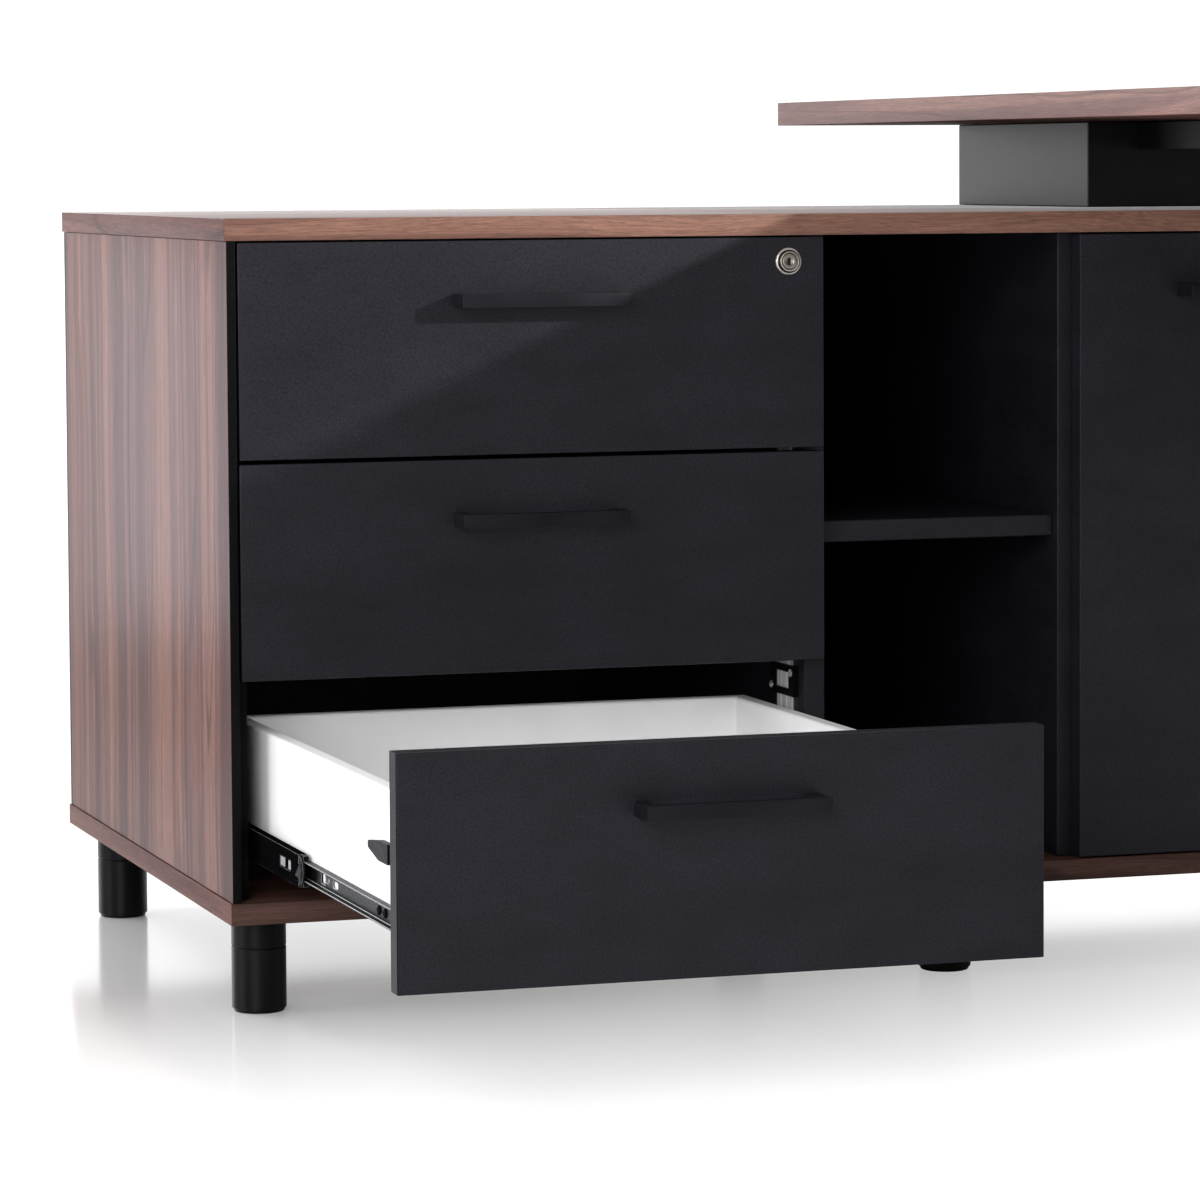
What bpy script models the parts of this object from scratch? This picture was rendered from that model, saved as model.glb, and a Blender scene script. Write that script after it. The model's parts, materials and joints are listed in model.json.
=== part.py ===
"""Executive desk: a low storage return with drawers, an open bay and a cupboard, and a desk top
that stands on the return at one end and on a steel leg frame at the other.

Units are metres and +Z is up. Places are written from the return's front left corner on the floor:
X to the right along the fronts, Y towards the back. The desk top runs forwards, along -Y.
"""

import math

import bmesh
import bpy
from mathutils import Matrix, Vector

MM = 0.001

# Overall sizes of the return and of the desk
CAB_WIDTH = 1400 * MM
CAB_DEPTH = 650 * MM
CAB_HEIGHT = 650 * MM
LEG_HEIGHT = 80 * MM
DESK_HEIGHT = 750 * MM
DESK_WIDTH = 694 * MM
DESK_LENGTH = 1800 * MM

# Boards
BOARD = 18 * MM
FRONT_BOARD = 18 * MM
DESK_BOARD = 22 * MM
BACK_BOARD = 9 * MM
BACK_INSET = 6 * MM
EDGE_OVERHANG = 1.5 * MM
EDGE_SOFT = 0.8 * MM
SEAT = 0.3 * MM
BITE = 1 * MM

# Front layout: fronts lie flush inside the end panels' lips and in front of the dividers
LIP = 7.5 * MM
REVEAL = 1.5 * MM
FRONT_GAP = 3.5 * MM
DOOR_GAP = 3 * MM
FRONT_CLEAR = 2 * MM
DRAWER_FRONT_WIDTH = 500 * MM
DRAWER_OVERLAY = 10.5 * MM
BAY_WIDTH = 212 * MM
DOOR_OVERLAY = 6 * MM
DRAWER_NAMES = ("bottom", "middle", "top")
DRAWER_PULLED = {"bottom": 466 * MM, "middle": 0.0, "top": 0.0}

# Shelves and their pins
BAY_SHELF_TOP = 391 * MM
CUPBOARD_SHELF_TOP = 365 * MM
SHELF_SETBACK = 11 * MM
PIN_RADIUS = 2.5 * MM
PIN_REACH = 7 * MM
PIN_DEPTH = 8 * MM
PIN_INSET = 60 * MM

# Drawer boxes
BOX_WALL = 13 * MM
BOX_HEIGHT = 98 * MM
BOX_DROP = 39 * MM
BOX_BACK_GAP = 34 * MM
BOX_SOFT = 2 * MM
BOTTOM_BOARD = 5 * MM
BOTTOM_RISE = 6 * MM
GROOVE_DEPTH = 6 * MM

# Telescopic slides: three nested channels on ball races
SLIDE_SPACE = 12.7 * MM
SLIDE_HEIGHT = 35 * MM
SLIDE_SHEET = 1.2 * MM
DENT = 1 * MM
DENT_HALF = 6 * MM
SLIDE_LENGTH = 500 * MM
SLIDE_START = 101 * MM
SLIDE_RISE = 43 * MM
RAIL_LEAD = 65 * MM
BALL = 3 * MM
BALL_PLAY = 0.25 * MM
BALL_SINK = 0.15 * MM
BALLS_PER_RACE = 3
BALL_PITCH = 60 * MM
RAIL_SLOT = (186 * MM, 11.7 * MM, 8.5 * MM)
RAIL_HOLE = (172.3 * MM, 7.6 * MM, 4 * MM)
RAIL_OBLONG = (149.4 * MM, 16 * MM, 5.6 * MM)
MIDDLE_WINDOW = (46 * MM, 35 * MM, 9 * MM)
CAGE_LENGTH = 14 * MM
CAGE_NOSE = 6 * MM
CAGE_BULGE = 12 * MM
CAGE_THICK = 0.9 * MM

# Handles
HANDLE_LENGTH = 142 * MM
HANDLE_HEIGHT = 11 * MM
HANDLE_REACH = 30 * MM
HANDLE_BAR = 10 * MM
HANDLE_DROP = 48.5 * MM

# Central lock
LOCK_INSET = 31.5 * MM
LOCK_DROP = 20 * MM
LOCK_FLANGE_RADIUS = 11.5 * MM
LOCK_FLANGE = 2.5 * MM
LOCK_NOSE = 2.5 * MM
LOCK_NOSE_RADIUS = 8.3 * MM
LOCK_BODY_RADIUS = 9.2 * MM
LOCK_BODY_LENGTH = 46 * MM
LOCK_CORE_RADIUS = 6.5 * MM
LOCK_PLAY = 0.4 * MM
KEY_SLOT = (2.4 * MM, 7 * MM)
KEY_SLOT_DEPTH = 10 * MM
CAM_LENGTH = 17 * MM
CAM_WIDTH = 7 * MM
CAM_SHEET = 2.5 * MM
LOCK_BAR_THICK = 5 * MM
LOCK_BAR_PROUD = 2.2 * MM
LOCK_BAR_WIDTH = 34 * MM
LOCK_BAR_SETBACK = 27.7 * MM
LOCK_BAR_RISE = 16 * MM
LOCK_BAR_GROOVE = (3.4 * MM, 1.6 * MM)
LOCK_PIN_RADIUS = 3 * MM
LOCK_PIN_REACH = 8.5 * MM
GUIDE_RISE = 143 * MM
GUIDE_HEIGHT = 26 * MM
GUIDE_POST = 12 * MM
GUIDE_BRIDGE = 6 * MM
GUIDE_THICK = 2 * MM
CATCH_BLOCK = 26 * MM
CATCH_LENGTH = 66 * MM
CATCH_HEIGHT = 15 * MM
CATCH_TIP = 6 * MM
CATCH_THICK = 5 * MM
CATCH_TIP_THICK = 2.2 * MM
CATCH_RISE = 89 * MM
CATCH_START = 86 * MM

# Door hinges
HINGE_CUP_RADIUS = 17.5 * MM
HINGE_CUP_INSET = 23 * MM
HINGE_FLANGE_RADIUS = 20.5 * MM
HINGE_FLANGE = 1.5 * MM
HINGE_DISH = 0.5 * MM
HINGE_END = 90 * MM
HINGE_ARM = (13 * MM, 52 * MM, 14 * MM)
HINGE_PLATE = (2 * MM, 36 * MM, 40 * MM)

# Round legs of the return
LEG_RADIUS = 22.5 * MM
LEG_COLLAR = 26 * MM
LEG_GLIDE = 3 * MM
LEG_GLIDE_INSET = 1.5 * MM
LEG_INSET_X = 37 * MM
LEG_INSET_Y = 60 * MM
MID_LEG_X = 642 * MM
LEG_SOFT = 1 * MM

# Riser between the return and the desk top
RISER_LEFT_INSET = 174 * MM
RISER_DEPTH = 312 * MM
RISER_BACK_INSET = 38 * MM

# Steel leg frame, beams and modesty panel under the desk top
FRAME_TUBE_X = 30 * MM
FRAME_TUBE_Y = 60 * MM
FRAME_RAIL = 27 * MM
FRAME_INSET_X = 54 * MM
FRAME_INSET_Y = 40 * MM
FRAME_GLIDE_RADIUS = 18 * MM
FRAME_GLIDE = 12 * MM
BEAM_WIDTH = 40 * MM
BEAM_HEIGHT = 25 * MM
BEAM_INSET = 50 * MM
BEAM_CLEAR = 1 * MM
MODESTY_INSET = 132 * MM
MODESTY_HEIGHT = 340 * MM
MODESTY_DOOR_CLEAR = 60 * MM

ROUND_STEPS = 24
SMALL_STEPS = 12

# Places worked out from the driving dimensions
base_top = LEG_HEIGHT + BOARD
roof = CAB_HEIGHT - BOARD
end_inner = EDGE_OVERHANG + BOARD
lip_inner = EDGE_OVERHANG + LIP
front_left = lip_inner + REVEAL
front_right = front_left + DRAWER_FRONT_WIDTH
inner_front = FRONT_BOARD + FRONT_CLEAR
end_back = CAB_DEPTH - EDGE_OVERHANG
back_rear = end_back - BACK_INSET
back_front = back_rear - BACK_BOARD
divider_1 = front_right - DRAWER_OVERLAY
bay_left = divider_1 + BOARD
divider_2 = bay_left + BAY_WIDTH
cupboard_left = divider_2 + BOARD
cupboard_right = CAB_WIDTH - end_inner
doors_left = cupboard_left - DOOR_OVERLAY
doors_right = CAB_WIDTH - lip_inner - REVEAL
door_width = (doors_right - doors_left - DOOR_GAP) / 2
hinge_face = FRONT_BOARD + HINGE_FLANGE
fronts_bottom = base_top + REVEAL
fronts_top = roof - REVEAL
drawer_count = len(DRAWER_NAMES)
front_height = (fronts_top - fronts_bottom - (drawer_count - 1) * FRONT_GAP) / drawer_count
box_left = end_inner + SLIDE_SPACE
box_right = divider_1 - SLIDE_SPACE
box_back = back_front - BOX_BACK_GAP
lock_x = front_right - LOCK_INSET
lock_z = fronts_top - LOCK_DROP
bar_front = inner_front + LOCK_BAR_SETBACK
bar_left = divider_1 - LOCK_BAR_PROUD
bar_right = bar_left + LOCK_BAR_THICK
desk_left = CAB_WIDTH - DESK_WIDTH
desk_front = CAB_DEPTH - DESK_LENGTH
desk_under = DESK_HEIGHT - DESK_BOARD
riser_left = desk_left + RISER_LEFT_INSET
riser_right = CAB_WIDTH - RISER_LEFT_INSET
riser_back = CAB_DEPTH - RISER_BACK_INSET
riser_front = riser_back - RISER_DEPTH
frame_near = desk_front + FRAME_INSET_Y
frame_far = frame_near + FRAME_TUBE_Y
frame_left = desk_left + FRAME_INSET_X
frame_right = CAB_WIDTH - FRAME_INSET_X


def clear_scene():
    """Empty the scene of whatever it holds."""
    for old in list(bpy.data.objects):
        bpy.data.objects.remove(old, do_unlink=True)


def new_collection(name):
    """A collection linked to the scene."""
    made = bpy.data.collections.new(name)
    bpy.context.scene.collection.children.link(made)
    return made


def material(name, colour, roughness, metallic=0.0):
    """A Principled material with one colour."""
    made = bpy.data.materials.new(name)
    made.use_nodes = True
    shader = made.node_tree.nodes["Principled BSDF"]
    shader.inputs["Base Color"].default_value = (*colour, 1.0)
    shader.inputs["Roughness"].default_value = roughness
    shader.inputs["Metallic"].default_value = metallic
    return made


clear_scene()
PARTS = new_collection("executive_desk")
CUTTERS = new_collection("cutters")

WALNUT = material("walnut_melamine", (0.27, 0.15, 0.10), 0.5)
BLACK = material("black_melamine", (0.03, 0.03, 0.034), 0.55)
WHITE = material("white_wrapped_board", (0.85, 0.85, 0.85), 0.5)
STEEL = material("black_coated_steel", (0.03, 0.03, 0.032), 0.4, 0.6)
PLASTIC = material("black_plastic", (0.02, 0.02, 0.021), 0.45)
NICKEL = material("satin_nickel", (0.62, 0.61, 0.58), 0.3, 1.0)
ALUMINIUM = material("brushed_aluminium", (0.72, 0.73, 0.74), 0.35, 1.0)


def carrier(name, home, parent=None, moved=(0, 0, 0)):
    """An empty that carries the pieces of one body; home is where places are measured from."""
    empty = bpy.data.objects.new(name, None)
    PARTS.objects.link(empty)
    empty.parent = parent
    start = Vector(parent["home"]) if parent else Vector((0, 0, 0))
    empty.location = Vector(home) - start + Vector(moved)
    empty["home"] = tuple(home)
    return empty


ROOT = carrier("desk_frame", (0, 0, 0), None, (-CAB_WIDTH / 2, DESK_LENGTH / 2 - CAB_DEPTH, 0))


def box(low, high):
    """A plain block between two corners."""
    low, high = Vector(low), Vector(high)
    bm = bmesh.new()
    bmesh.ops.create_cube(bm, size=1.0)
    bmesh.ops.scale(bm, vec=high - low, verts=bm.verts)
    bmesh.ops.translate(bm, vec=(low + high) / 2, verts=bm.verts)
    return bm


def rod(start, end, radius, steps=SMALL_STEPS):
    """A round bar between two points."""
    start, end = Vector(start), Vector(end)
    turn = (end - start).to_track_quat("Z", "Y").to_matrix().to_4x4()
    bm = bmesh.new()
    bmesh.ops.create_cone(
        bm,
        cap_ends=True,
        segments=steps,
        radius1=radius,
        radius2=radius,
        depth=(end - start).length,
        matrix=Matrix.Translation((start + end) / 2) @ turn,
    )
    return bm


def ball(centre, radius):
    """A small bearing ball."""
    bm = bmesh.new()
    bmesh.ops.create_uvsphere(
        bm, u_segments=6, v_segments=4, radius=radius, matrix=Matrix.Translation(Vector(centre))
    )
    return bm


def evaluated(obj, matrix):
    """The finished mesh of a helper object, welded, moved by a matrix; the helper is removed."""
    bpy.context.view_layer.update()
    graph = bpy.context.evaluated_depsgraph_get()
    mesh = bpy.data.meshes.new_from_object(obj.evaluated_get(graph))
    bm = bmesh.new()
    bm.from_mesh(mesh)
    bmesh.ops.remove_doubles(bm, verts=bm.verts, dist=0.00001)
    bmesh.ops.transform(bm, matrix=matrix, verts=bm.verts)
    bmesh.ops.recalc_face_normals(bm, faces=bm.faces)
    bpy.data.objects.remove(obj)
    return bm


def extrusion(points, start, end):
    """A flat outline of (x, z) points drawn out along Y from start to end."""
    curve = bpy.data.curves.new("outline", "CURVE")
    curve.dimensions = "2D"
    curve.fill_mode = "BOTH"
    curve.extrude = (end - start) / 2
    spline = curve.splines.new("POLY")
    spline.points.add(len(points) - 1)
    for point, (x, z) in zip(spline.points, points):
        point.co = (x, z, 0, 1)
    spline.use_cyclic_u = True
    obj = bpy.data.objects.new("outline", curve)
    PARTS.objects.link(obj)
    stand = Matrix.Translation((0, (start + end) / 2, 0)) @ Matrix.Rotation(math.pi / 2, 4, "X")
    return evaluated(obj, stand)


def plate(points, near, far):
    """A flat outline of (y, z) points drawn out along X from near to far."""
    blank = extrusion(points, -far, -near)
    bmesh.ops.rotate(blank, cent=(0, 0, 0), matrix=Matrix.Rotation(math.pi / 2, 3, "Z"), verts=blank.verts)
    return blank


def oblong(y, z, length, height):
    """Outline of a punched hole with half-round ends, longer than it is high."""
    radius, reach = height / 2, (length - height) / 2
    steps = SMALL_STEPS // 2
    points = []
    for end in (1, -1):
        for step in range(steps + 1):
            angle = math.pi * step / steps - end * math.pi / 2
            points.append((y + end * reach + radius * math.cos(angle), z + radius * math.sin(angle)))
    return points


def turned(profile, matrix, steps=ROUND_STEPS, closed=False):
    """A profile of (radius, height) points, top to bottom on its outer side, turned about Z."""
    mesh = bpy.data.meshes.new("profile")
    links = [(i, i + 1) for i in range(len(profile) - 1)]
    if closed:
        links.append((len(profile) - 1, 0))
    mesh.from_pydata([(r, 0, z) for r, z in profile], links, [])
    obj = bpy.data.objects.new("profile", mesh)
    PARTS.objects.link(obj)
    screw = obj.modifiers.new("turn", "SCREW")
    screw.steps = steps
    screw.render_steps = steps
    screw.use_merge_vertices = True
    screw.merge_threshold = 0.00001
    return evaluated(obj, matrix)


def merged(blanks):
    """One mesh holding several separate blanks."""
    total = bmesh.new()
    for blank in blanks:
        mesh = bpy.data.meshes.new("blank")
        blank.to_mesh(mesh)
        blank.free()
        total.from_mesh(mesh)
        bpy.data.meshes.remove(mesh)
    return total


def node(name, blank, look, body=ROOT, soft=0.0, smooth=False):
    """A named piece made from a blank and carried by a body's empty."""
    bmesh.ops.translate(blank, vec=-Vector(body["home"]), verts=blank.verts)
    mesh = bpy.data.meshes.new(name)
    blank.to_mesh(mesh)
    blank.free()
    mesh.materials.append(look)
    obj = bpy.data.objects.new(name, mesh)
    PARTS.objects.link(obj)
    obj.parent = body
    if smooth:
        mesh.shade_smooth()
        mesh.set_sharp_from_angle(angle=math.radians(35))
    if soft:
        soften(obj, soft)
    return obj


def soften(obj, width, segments=1):
    """Round the sharp edges of a piece."""
    bevel = obj.modifiers.new("soft_edges", "BEVEL")
    bevel.width = width
    bevel.segments = segments
    bevel.limit_method = "ANGLE"
    bevel.angle_limit = math.radians(50)
    return bevel


def combine(obj, blanks, label, operation):
    """Join a set of blanks to a piece, or take them away from it."""
    bm = merged(blanks)
    bmesh.ops.translate(bm, vec=-Vector(obj.parent["home"]), verts=bm.verts)
    mesh = bpy.data.meshes.new(label)
    bm.to_mesh(mesh)
    bm.free()
    tool = bpy.data.objects.new(obj.name + "_" + label, mesh)
    CUTTERS.objects.link(tool)
    tool.parent = obj.parent
    tool.hide_render = True
    tool.display_type = "WIRE"
    boolean = obj.modifiers.new(label, "BOOLEAN")
    boolean.operation = operation
    boolean.object = tool


def cut(obj, blanks, label):
    """Cut a set of blanks out of a piece."""
    combine(obj, blanks, label, "DIFFERENCE")


def join(obj, blanks, label):
    """Fuse a set of blanks, which lie apart from each other, to a piece."""
    combine(obj, blanks, label, "UNION")


def pin_places(left, right, shelf_top):
    """The four shelf pins of one shelf: wall face, direction into the wall, Y and Z."""
    z = shelf_top - BOARD - SEAT - PIN_RADIUS
    depths = (inner_front + SHELF_SETBACK + PIN_INSET, back_front - PIN_INSET)
    return [(face, way, y, z) for face, way in ((left, -1), (right, 1)) for y in depths]


BAY_PINS = pin_places(bay_left, divider_2, BAY_SHELF_TOP)
CUPBOARD_PINS = pin_places(cupboard_left, cupboard_right, CUPBOARD_SHELF_TOP)


def pins_in(face, way, pins):
    """The pins that stand in one wall face."""
    return [
        rod((x - way * PIN_REACH, y, z), (x + way * PIN_DEPTH, y, z), PIN_RADIUS)
        for x, pin_way, y, z in pins
        if x == face and pin_way == way
    ]


def build_carcass():
    """Top, base, end panels, dividers and back of the return."""
    low, high = base_top + SEAT, roof - SEAT
    node("cabinet_top", box((0, 0, roof), (CAB_WIDTH, CAB_DEPTH, CAB_HEIGHT)), WALNUT, soft=EDGE_SOFT)
    base = box((0, 0, LEG_HEIGHT), (CAB_WIDTH, CAB_DEPTH, base_top))
    node("cabinet_base", base, WALNUT, soft=EDGE_SOFT)

    left_side = box((EDGE_OVERHANG, 0, low), (end_inner, end_back, high))
    left_panel = node("left_end_panel", left_side, WALNUT)
    cut(left_panel, [box((lip_inner, -LIP, 0), (end_inner + LIP, inner_front, CAB_HEIGHT))], "rebate")
    soften(left_panel, EDGE_SOFT)
    right_side = box((cupboard_right, 0, low), (CAB_WIDTH - EDGE_OVERHANG, end_back, high))
    right_panel = node("right_end_panel", right_side, WALNUT)
    step = box((cupboard_right - LIP, -LIP, 0), (CAB_WIDTH - lip_inner, inner_front, CAB_HEIGHT))
    cut(right_panel, [step], "rebate")
    soften(right_panel, EDGE_SOFT)
    join(right_panel, pins_in(cupboard_right, 1, CUPBOARD_PINS), "shelf_pins")
    join(right_panel, hinge_plates(cupboard_right, -1), "hinge_plates")
    join(right_panel, hinge_arms(cupboard_right, -1), "hinge_arms")

    for name, left in (("left_divider", divider_1), ("right_divider", divider_2)):
        panel = box((left, inner_front, low), (left + BOARD, back_front - SEAT, high))
        divider = node(name, panel, BLACK, soft=EDGE_SOFT)
        faces = pins_in(left, 1, BAY_PINS) + pins_in(left + BOARD, -1, BAY_PINS + CUPBOARD_PINS)
        join(divider, faces, "shelf_pins")
        if left == divider_1:
            join(divider, bar_guides(), "bar_guides")
            for number, blank in enumerate(bar_windows()):
                cut(divider, [blank], f"bar_window_{number}")
        else:
            join(divider, hinge_plates(cupboard_left, 1), "hinge_plates")
            join(divider, hinge_arms(cupboard_left, 1), "hinge_arms")
    back = box((end_inner + SEAT, back_front, low), (cupboard_right - SEAT, back_rear, high))
    node("back_panel", back, BLACK)


def build_shelves():
    """The bay's shelf and the cupboard's shelf."""
    front = inner_front + SHELF_SETBACK
    spans = (
        ("bay_shelf", bay_left, divider_2, BAY_SHELF_TOP),
        ("cupboard_shelf", cupboard_left, cupboard_right, CUPBOARD_SHELF_TOP),
    )
    for name, left, right, top in spans:
        shelf = box((left + SEAT, front, top - BOARD), (right - SEAT, back_front - SEAT, top))
        node(name, shelf, BLACK, soft=EDGE_SOFT)


def build_handle(name, middle, z, body):
    """A square bar handle with a post at each end."""
    left, right = middle - HANDLE_LENGTH / 2, middle + HANDLE_LENGTH / 2
    low, high = z - HANDLE_HEIGHT / 2, z + HANDLE_HEIGHT / 2
    bar = node(name, box((left, -HANDLE_REACH, low), (right, -SEAT, high)), STEEL, body)
    grip = box(
        (left + HANDLE_BAR, HANDLE_BAR - HANDLE_REACH, low - HANDLE_BAR),
        (right - HANDLE_BAR, HANDLE_BAR, high + HANDLE_BAR),
    )
    cut(bar, [grip], "grip")
    soften(bar, EDGE_SOFT)


def channel(wall, way, web, tip, half, z, start, end):
    """A rolled channel: its web lies web off a wall and is dented, its flanges reach to tip, half high."""
    inside = web + SLIDE_SHEET
    foot, top = DENT_HALF, DENT_HALF - DENT
    upper = [
        (web + DENT, top),
        (web, foot),
        (web, half),
        (tip, half),
        (tip, half - SLIDE_SHEET),
        (inside, half - SLIDE_SHEET),
        (inside, foot),
        (inside + DENT, top),
    ]
    lower = [(reach, -rise) for reach, rise in reversed(upper)]
    points = [(wall + way * reach, z + rise) for reach, rise in upper + lower]
    return extrusion(points, start, end)


# Half heights and webs of the nested channels, from the cabinet wall towards the drawer box
race = BALL + 2 * BALL_PLAY
outer_half = SLIDE_HEIGHT / 2
middle_half = outer_half - SLIDE_SHEET - race
inner_half = middle_half - SLIDE_SHEET - race
outer_web = SEAT
middle_web = outer_web + SLIDE_SHEET + 1.8 * MM
inner_web = SLIDE_SPACE - SEAT - SLIDE_SHEET
outer_tip = inner_web - SLIDE_SHEET
middle_tip = inner_web - 0.8 * MM
inner_tip = middle_web + SLIDE_SHEET + 1.5 * MM
ball_reach = (middle_web + middle_tip) / 2


def inner_rail(wall, way, z, start, end):
    """The drawer's own rail, a channel that opens towards the cabinet wall."""
    upper = [
        (inner_web + SLIDE_SHEET, inner_half),
        (inner_tip, inner_half),
        (inner_tip, inner_half - SLIDE_SHEET),
        (inner_web, inner_half - SLIDE_SHEET),
    ]
    lower = [(reach, -rise) for reach, rise in reversed(upper)]
    points = [(wall + way * reach, z + rise) for reach, rise in upper + lower]
    return extrusion(points, start, end)


def race_balls(wall, way, z):
    """Balls of one slide, seated on the middle channel: outer races at its rear, inner at its front."""
    x = wall + way * ball_reach
    outer_z = middle_half + BALL / 2 - BALL_SINK
    inner_z = middle_half - SLIDE_SHEET - BALL / 2 + BALL_SINK
    first = SLIDE_START + BALL_PITCH
    last = SLIDE_START + SLIDE_LENGTH - BALL_PITCH
    blanks = []
    for index in range(BALLS_PER_RACE):
        step = index * BALL_PITCH
        for side in (-1, 1):
            blanks.append(ball((x, last - step, z + side * outer_z), BALL / 2))
            blanks.append(ball((x, first + step, z + side * inner_z), BALL / 2))
    return blanks


def rail_holes(wall, way, z):
    """Holes punched through the web of a drawer's rail: a square slot and two oblong ones."""
    near, far = sorted((wall + way * inner_tip, wall + way * (SLIDE_SPACE + SLIDE_SHEET)))
    place, length, height = RAIL_SLOT
    y = SLIDE_START + place
    blanks = [box((near, y - length / 2, z - height / 2), (far, y + length / 2, z + height / 2))]
    for place, length, height in (RAIL_HOLE, RAIL_OBLONG):
        blanks.append(plate(oblong(SLIDE_START + place, z, length, height), near, far))
    return blanks


def middle_window(wall, way, z):
    """The window punched in the web of a middle channel, behind its front end."""
    place, length, height = MIDDLE_WINDOW
    near, far = sorted((wall, wall + way * (middle_web + 2 * SLIDE_SHEET)))
    y = SLIDE_START + place
    return box((near, y - length / 2, z - height / 2), (far, y + length / 2, z + height / 2))


def ball_cage(wall, way, z):
    """Plastic front end of the ball cage: a round-ended plate on the web, and a nose in each race."""
    start = SLIDE_START
    inside = middle_web + SLIDE_SHEET
    near, far = sorted((wall + way * (inside - SLIDE_SHEET / 2), wall + way * (inside + CAGE_THICK)))
    room = middle_half - SLIDE_SHEET - SEAT
    outline = [(start + CAGE_LENGTH, z - room), (start + CAGE_LENGTH, z + room)]
    for step in range(SMALL_STEPS + 1):
        angle = math.pi * step / SMALL_STEPS
        outline.append((start - CAGE_BULGE * math.sin(angle), z + room * math.cos(angle)))
    blanks = [plate(outline, near, far)]
    near, far = sorted((wall + way * (inside + CAGE_THICK + SEAT), wall + way * (middle_tip - SEAT)))
    low, high = inner_half + BALL_PLAY, middle_half - SLIDE_SHEET / 2
    for side in (-1, 1):
        bottom, top = sorted((z + side * low, z + side * high))
        blanks.append(box((near, start - CAGE_NOSE, bottom), (far, start + CAGE_LENGTH, top)))
    return blanks


def catch(wall, way, z, sink):
    """A plastic catch on a box side: a block, and a nose that thins and tapers to a round end."""
    start, end = CATCH_START, CATCH_START + CATCH_LENGTH
    shoulder = start + CATCH_BLOCK
    half, tip = CATCH_HEIGHT / 2, CATCH_TIP / 2
    points = [(shoulder, z - half)]
    for step in range(SMALL_STEPS // 2 + 1):
        angle = math.pi * (step / (SMALL_STEPS // 2) - 0.5)
        points.append((end - tip + tip * math.cos(angle), z + tip * math.sin(angle)))
    points += [(shoulder, z + half), (start, z + half), (start, z - half)]
    near, far = sorted((wall - way * sink, wall + way * CATCH_THICK))
    blank = plate(points, near, far)
    for vert in blank.verts:
        share = (vert.co.y - shoulder) / (end - shoulder)
        if share > 0 and (vert.co.x - wall) * way > CATCH_THICK / 2:
            vert.co.x = wall + way * (CATCH_THICK + share * (CATCH_TIP_THICK - CATCH_THICK))
    return blank


def build_drawer(index, name):
    """One drawer with its front, box, bottom, handle, catches and telescopic slides."""
    pulled = DRAWER_PULLED[name]
    low = fronts_bottom + index * (front_height + FRONT_GAP)
    high = low + front_height
    middle = (front_left + front_right) / 2
    handle_z = high - HANDLE_DROP
    body = carrier(f"{name}_drawer", (0, 0, 0), ROOT, (0, -pulled, 0))
    halfway = carrier(f"{name}_drawer_midway", (0, 0, 0), ROOT, (0, -pulled / 2, 0))

    face = box((front_left, 0, low), (front_right, FRONT_BOARD, high))
    front = node(f"{name}_drawer_front", face, BLACK, body)
    soften(front, EDGE_SOFT, 2)
    if name == "top":
        bore = LOCK_BODY_RADIUS + LOCK_PLAY
        start, end = (lock_x, -FRONT_BOARD, lock_z), (lock_x, 2 * FRONT_BOARD, lock_z)
        cut(front, [rod(start, end, bore, ROUND_STEPS)], "lock_bore")
    build_handle(f"{name}_drawer_handle", middle, handle_z, body)

    box_top = high - BOX_DROP
    box_low = box_top - BOX_HEIGHT
    box_front = FRONT_BOARD + SEAT
    block = box((box_left, box_front, box_low), (box_right, box_back, box_top))
    walls = node(f"{name}_drawer_box", block, WHITE, body)
    hollow_low = (box_left + BOX_WALL, box_front + BOX_WALL, box_low - BOX_WALL)
    hollow_high = (box_right - BOX_WALL, box_back - BOX_WALL, box_top + BOX_WALL)
    cut(walls, [box(hollow_low, hollow_high)], "hollow")
    soften(walls, BOX_SOFT, 2)
    bottom_z = box_low + BOTTOM_RISE
    groove = box(
        (box_left + BOX_WALL - GROOVE_DEPTH, box_front + BOX_WALL - GROOVE_DEPTH, bottom_z - SEAT),
        (box_right - BOX_WALL + GROOVE_DEPTH, box_back - BOX_WALL + GROOVE_DEPTH,
         bottom_z + BOTTOM_BOARD + SEAT),
    )
    cut(walls, [groove], "groove")
    inset = BOX_WALL - GROOVE_DEPTH + SEAT
    bottom = box(
        (box_left + inset, box_front + inset, bottom_z),
        (box_right - inset, box_back - inset, bottom_z + BOTTOM_BOARD),
    )
    node(f"{name}_drawer_bottom", bottom, WHITE, body)
    catch_z = low + CATCH_RISE
    join(walls, [catch(box_left, -1, catch_z, BITE)], "left_catch")
    node(f"{name}_right_catch", catch(box_right, 1, catch_z, -SEAT), PLASTIC, body)

    slide_z = low + SLIDE_RISE
    start, end = SLIDE_START, SLIDE_START + SLIDE_LENGTH
    for side, wall, way in (("left", end_inner, 1), ("right", divider_1, -1)):
        outer = channel(wall, way, outer_web, outer_tip, outer_half, slide_z, start, end)
        node(f"{name}_slide_outer_{side}", outer, STEEL)
        centre = channel(wall, way, middle_web, middle_tip, middle_half, slide_z, start, end)
        travel = node(f"{name}_slide_middle_{side}", centre, STEEL, halfway)
        cut(travel, [middle_window(wall, way, slide_z)], "window")
        join(travel, race_balls(wall, way, slide_z) + ball_cage(wall, way, slide_z), "balls")
        rail = inner_rail(wall, way, slide_z, start - RAIL_LEAD, end)
        runner = node(f"{name}_slide_inner_{side}", rail, STEEL, body)
        cut(runner, rail_holes(wall, way, slide_z), "holes")
    return body


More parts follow.
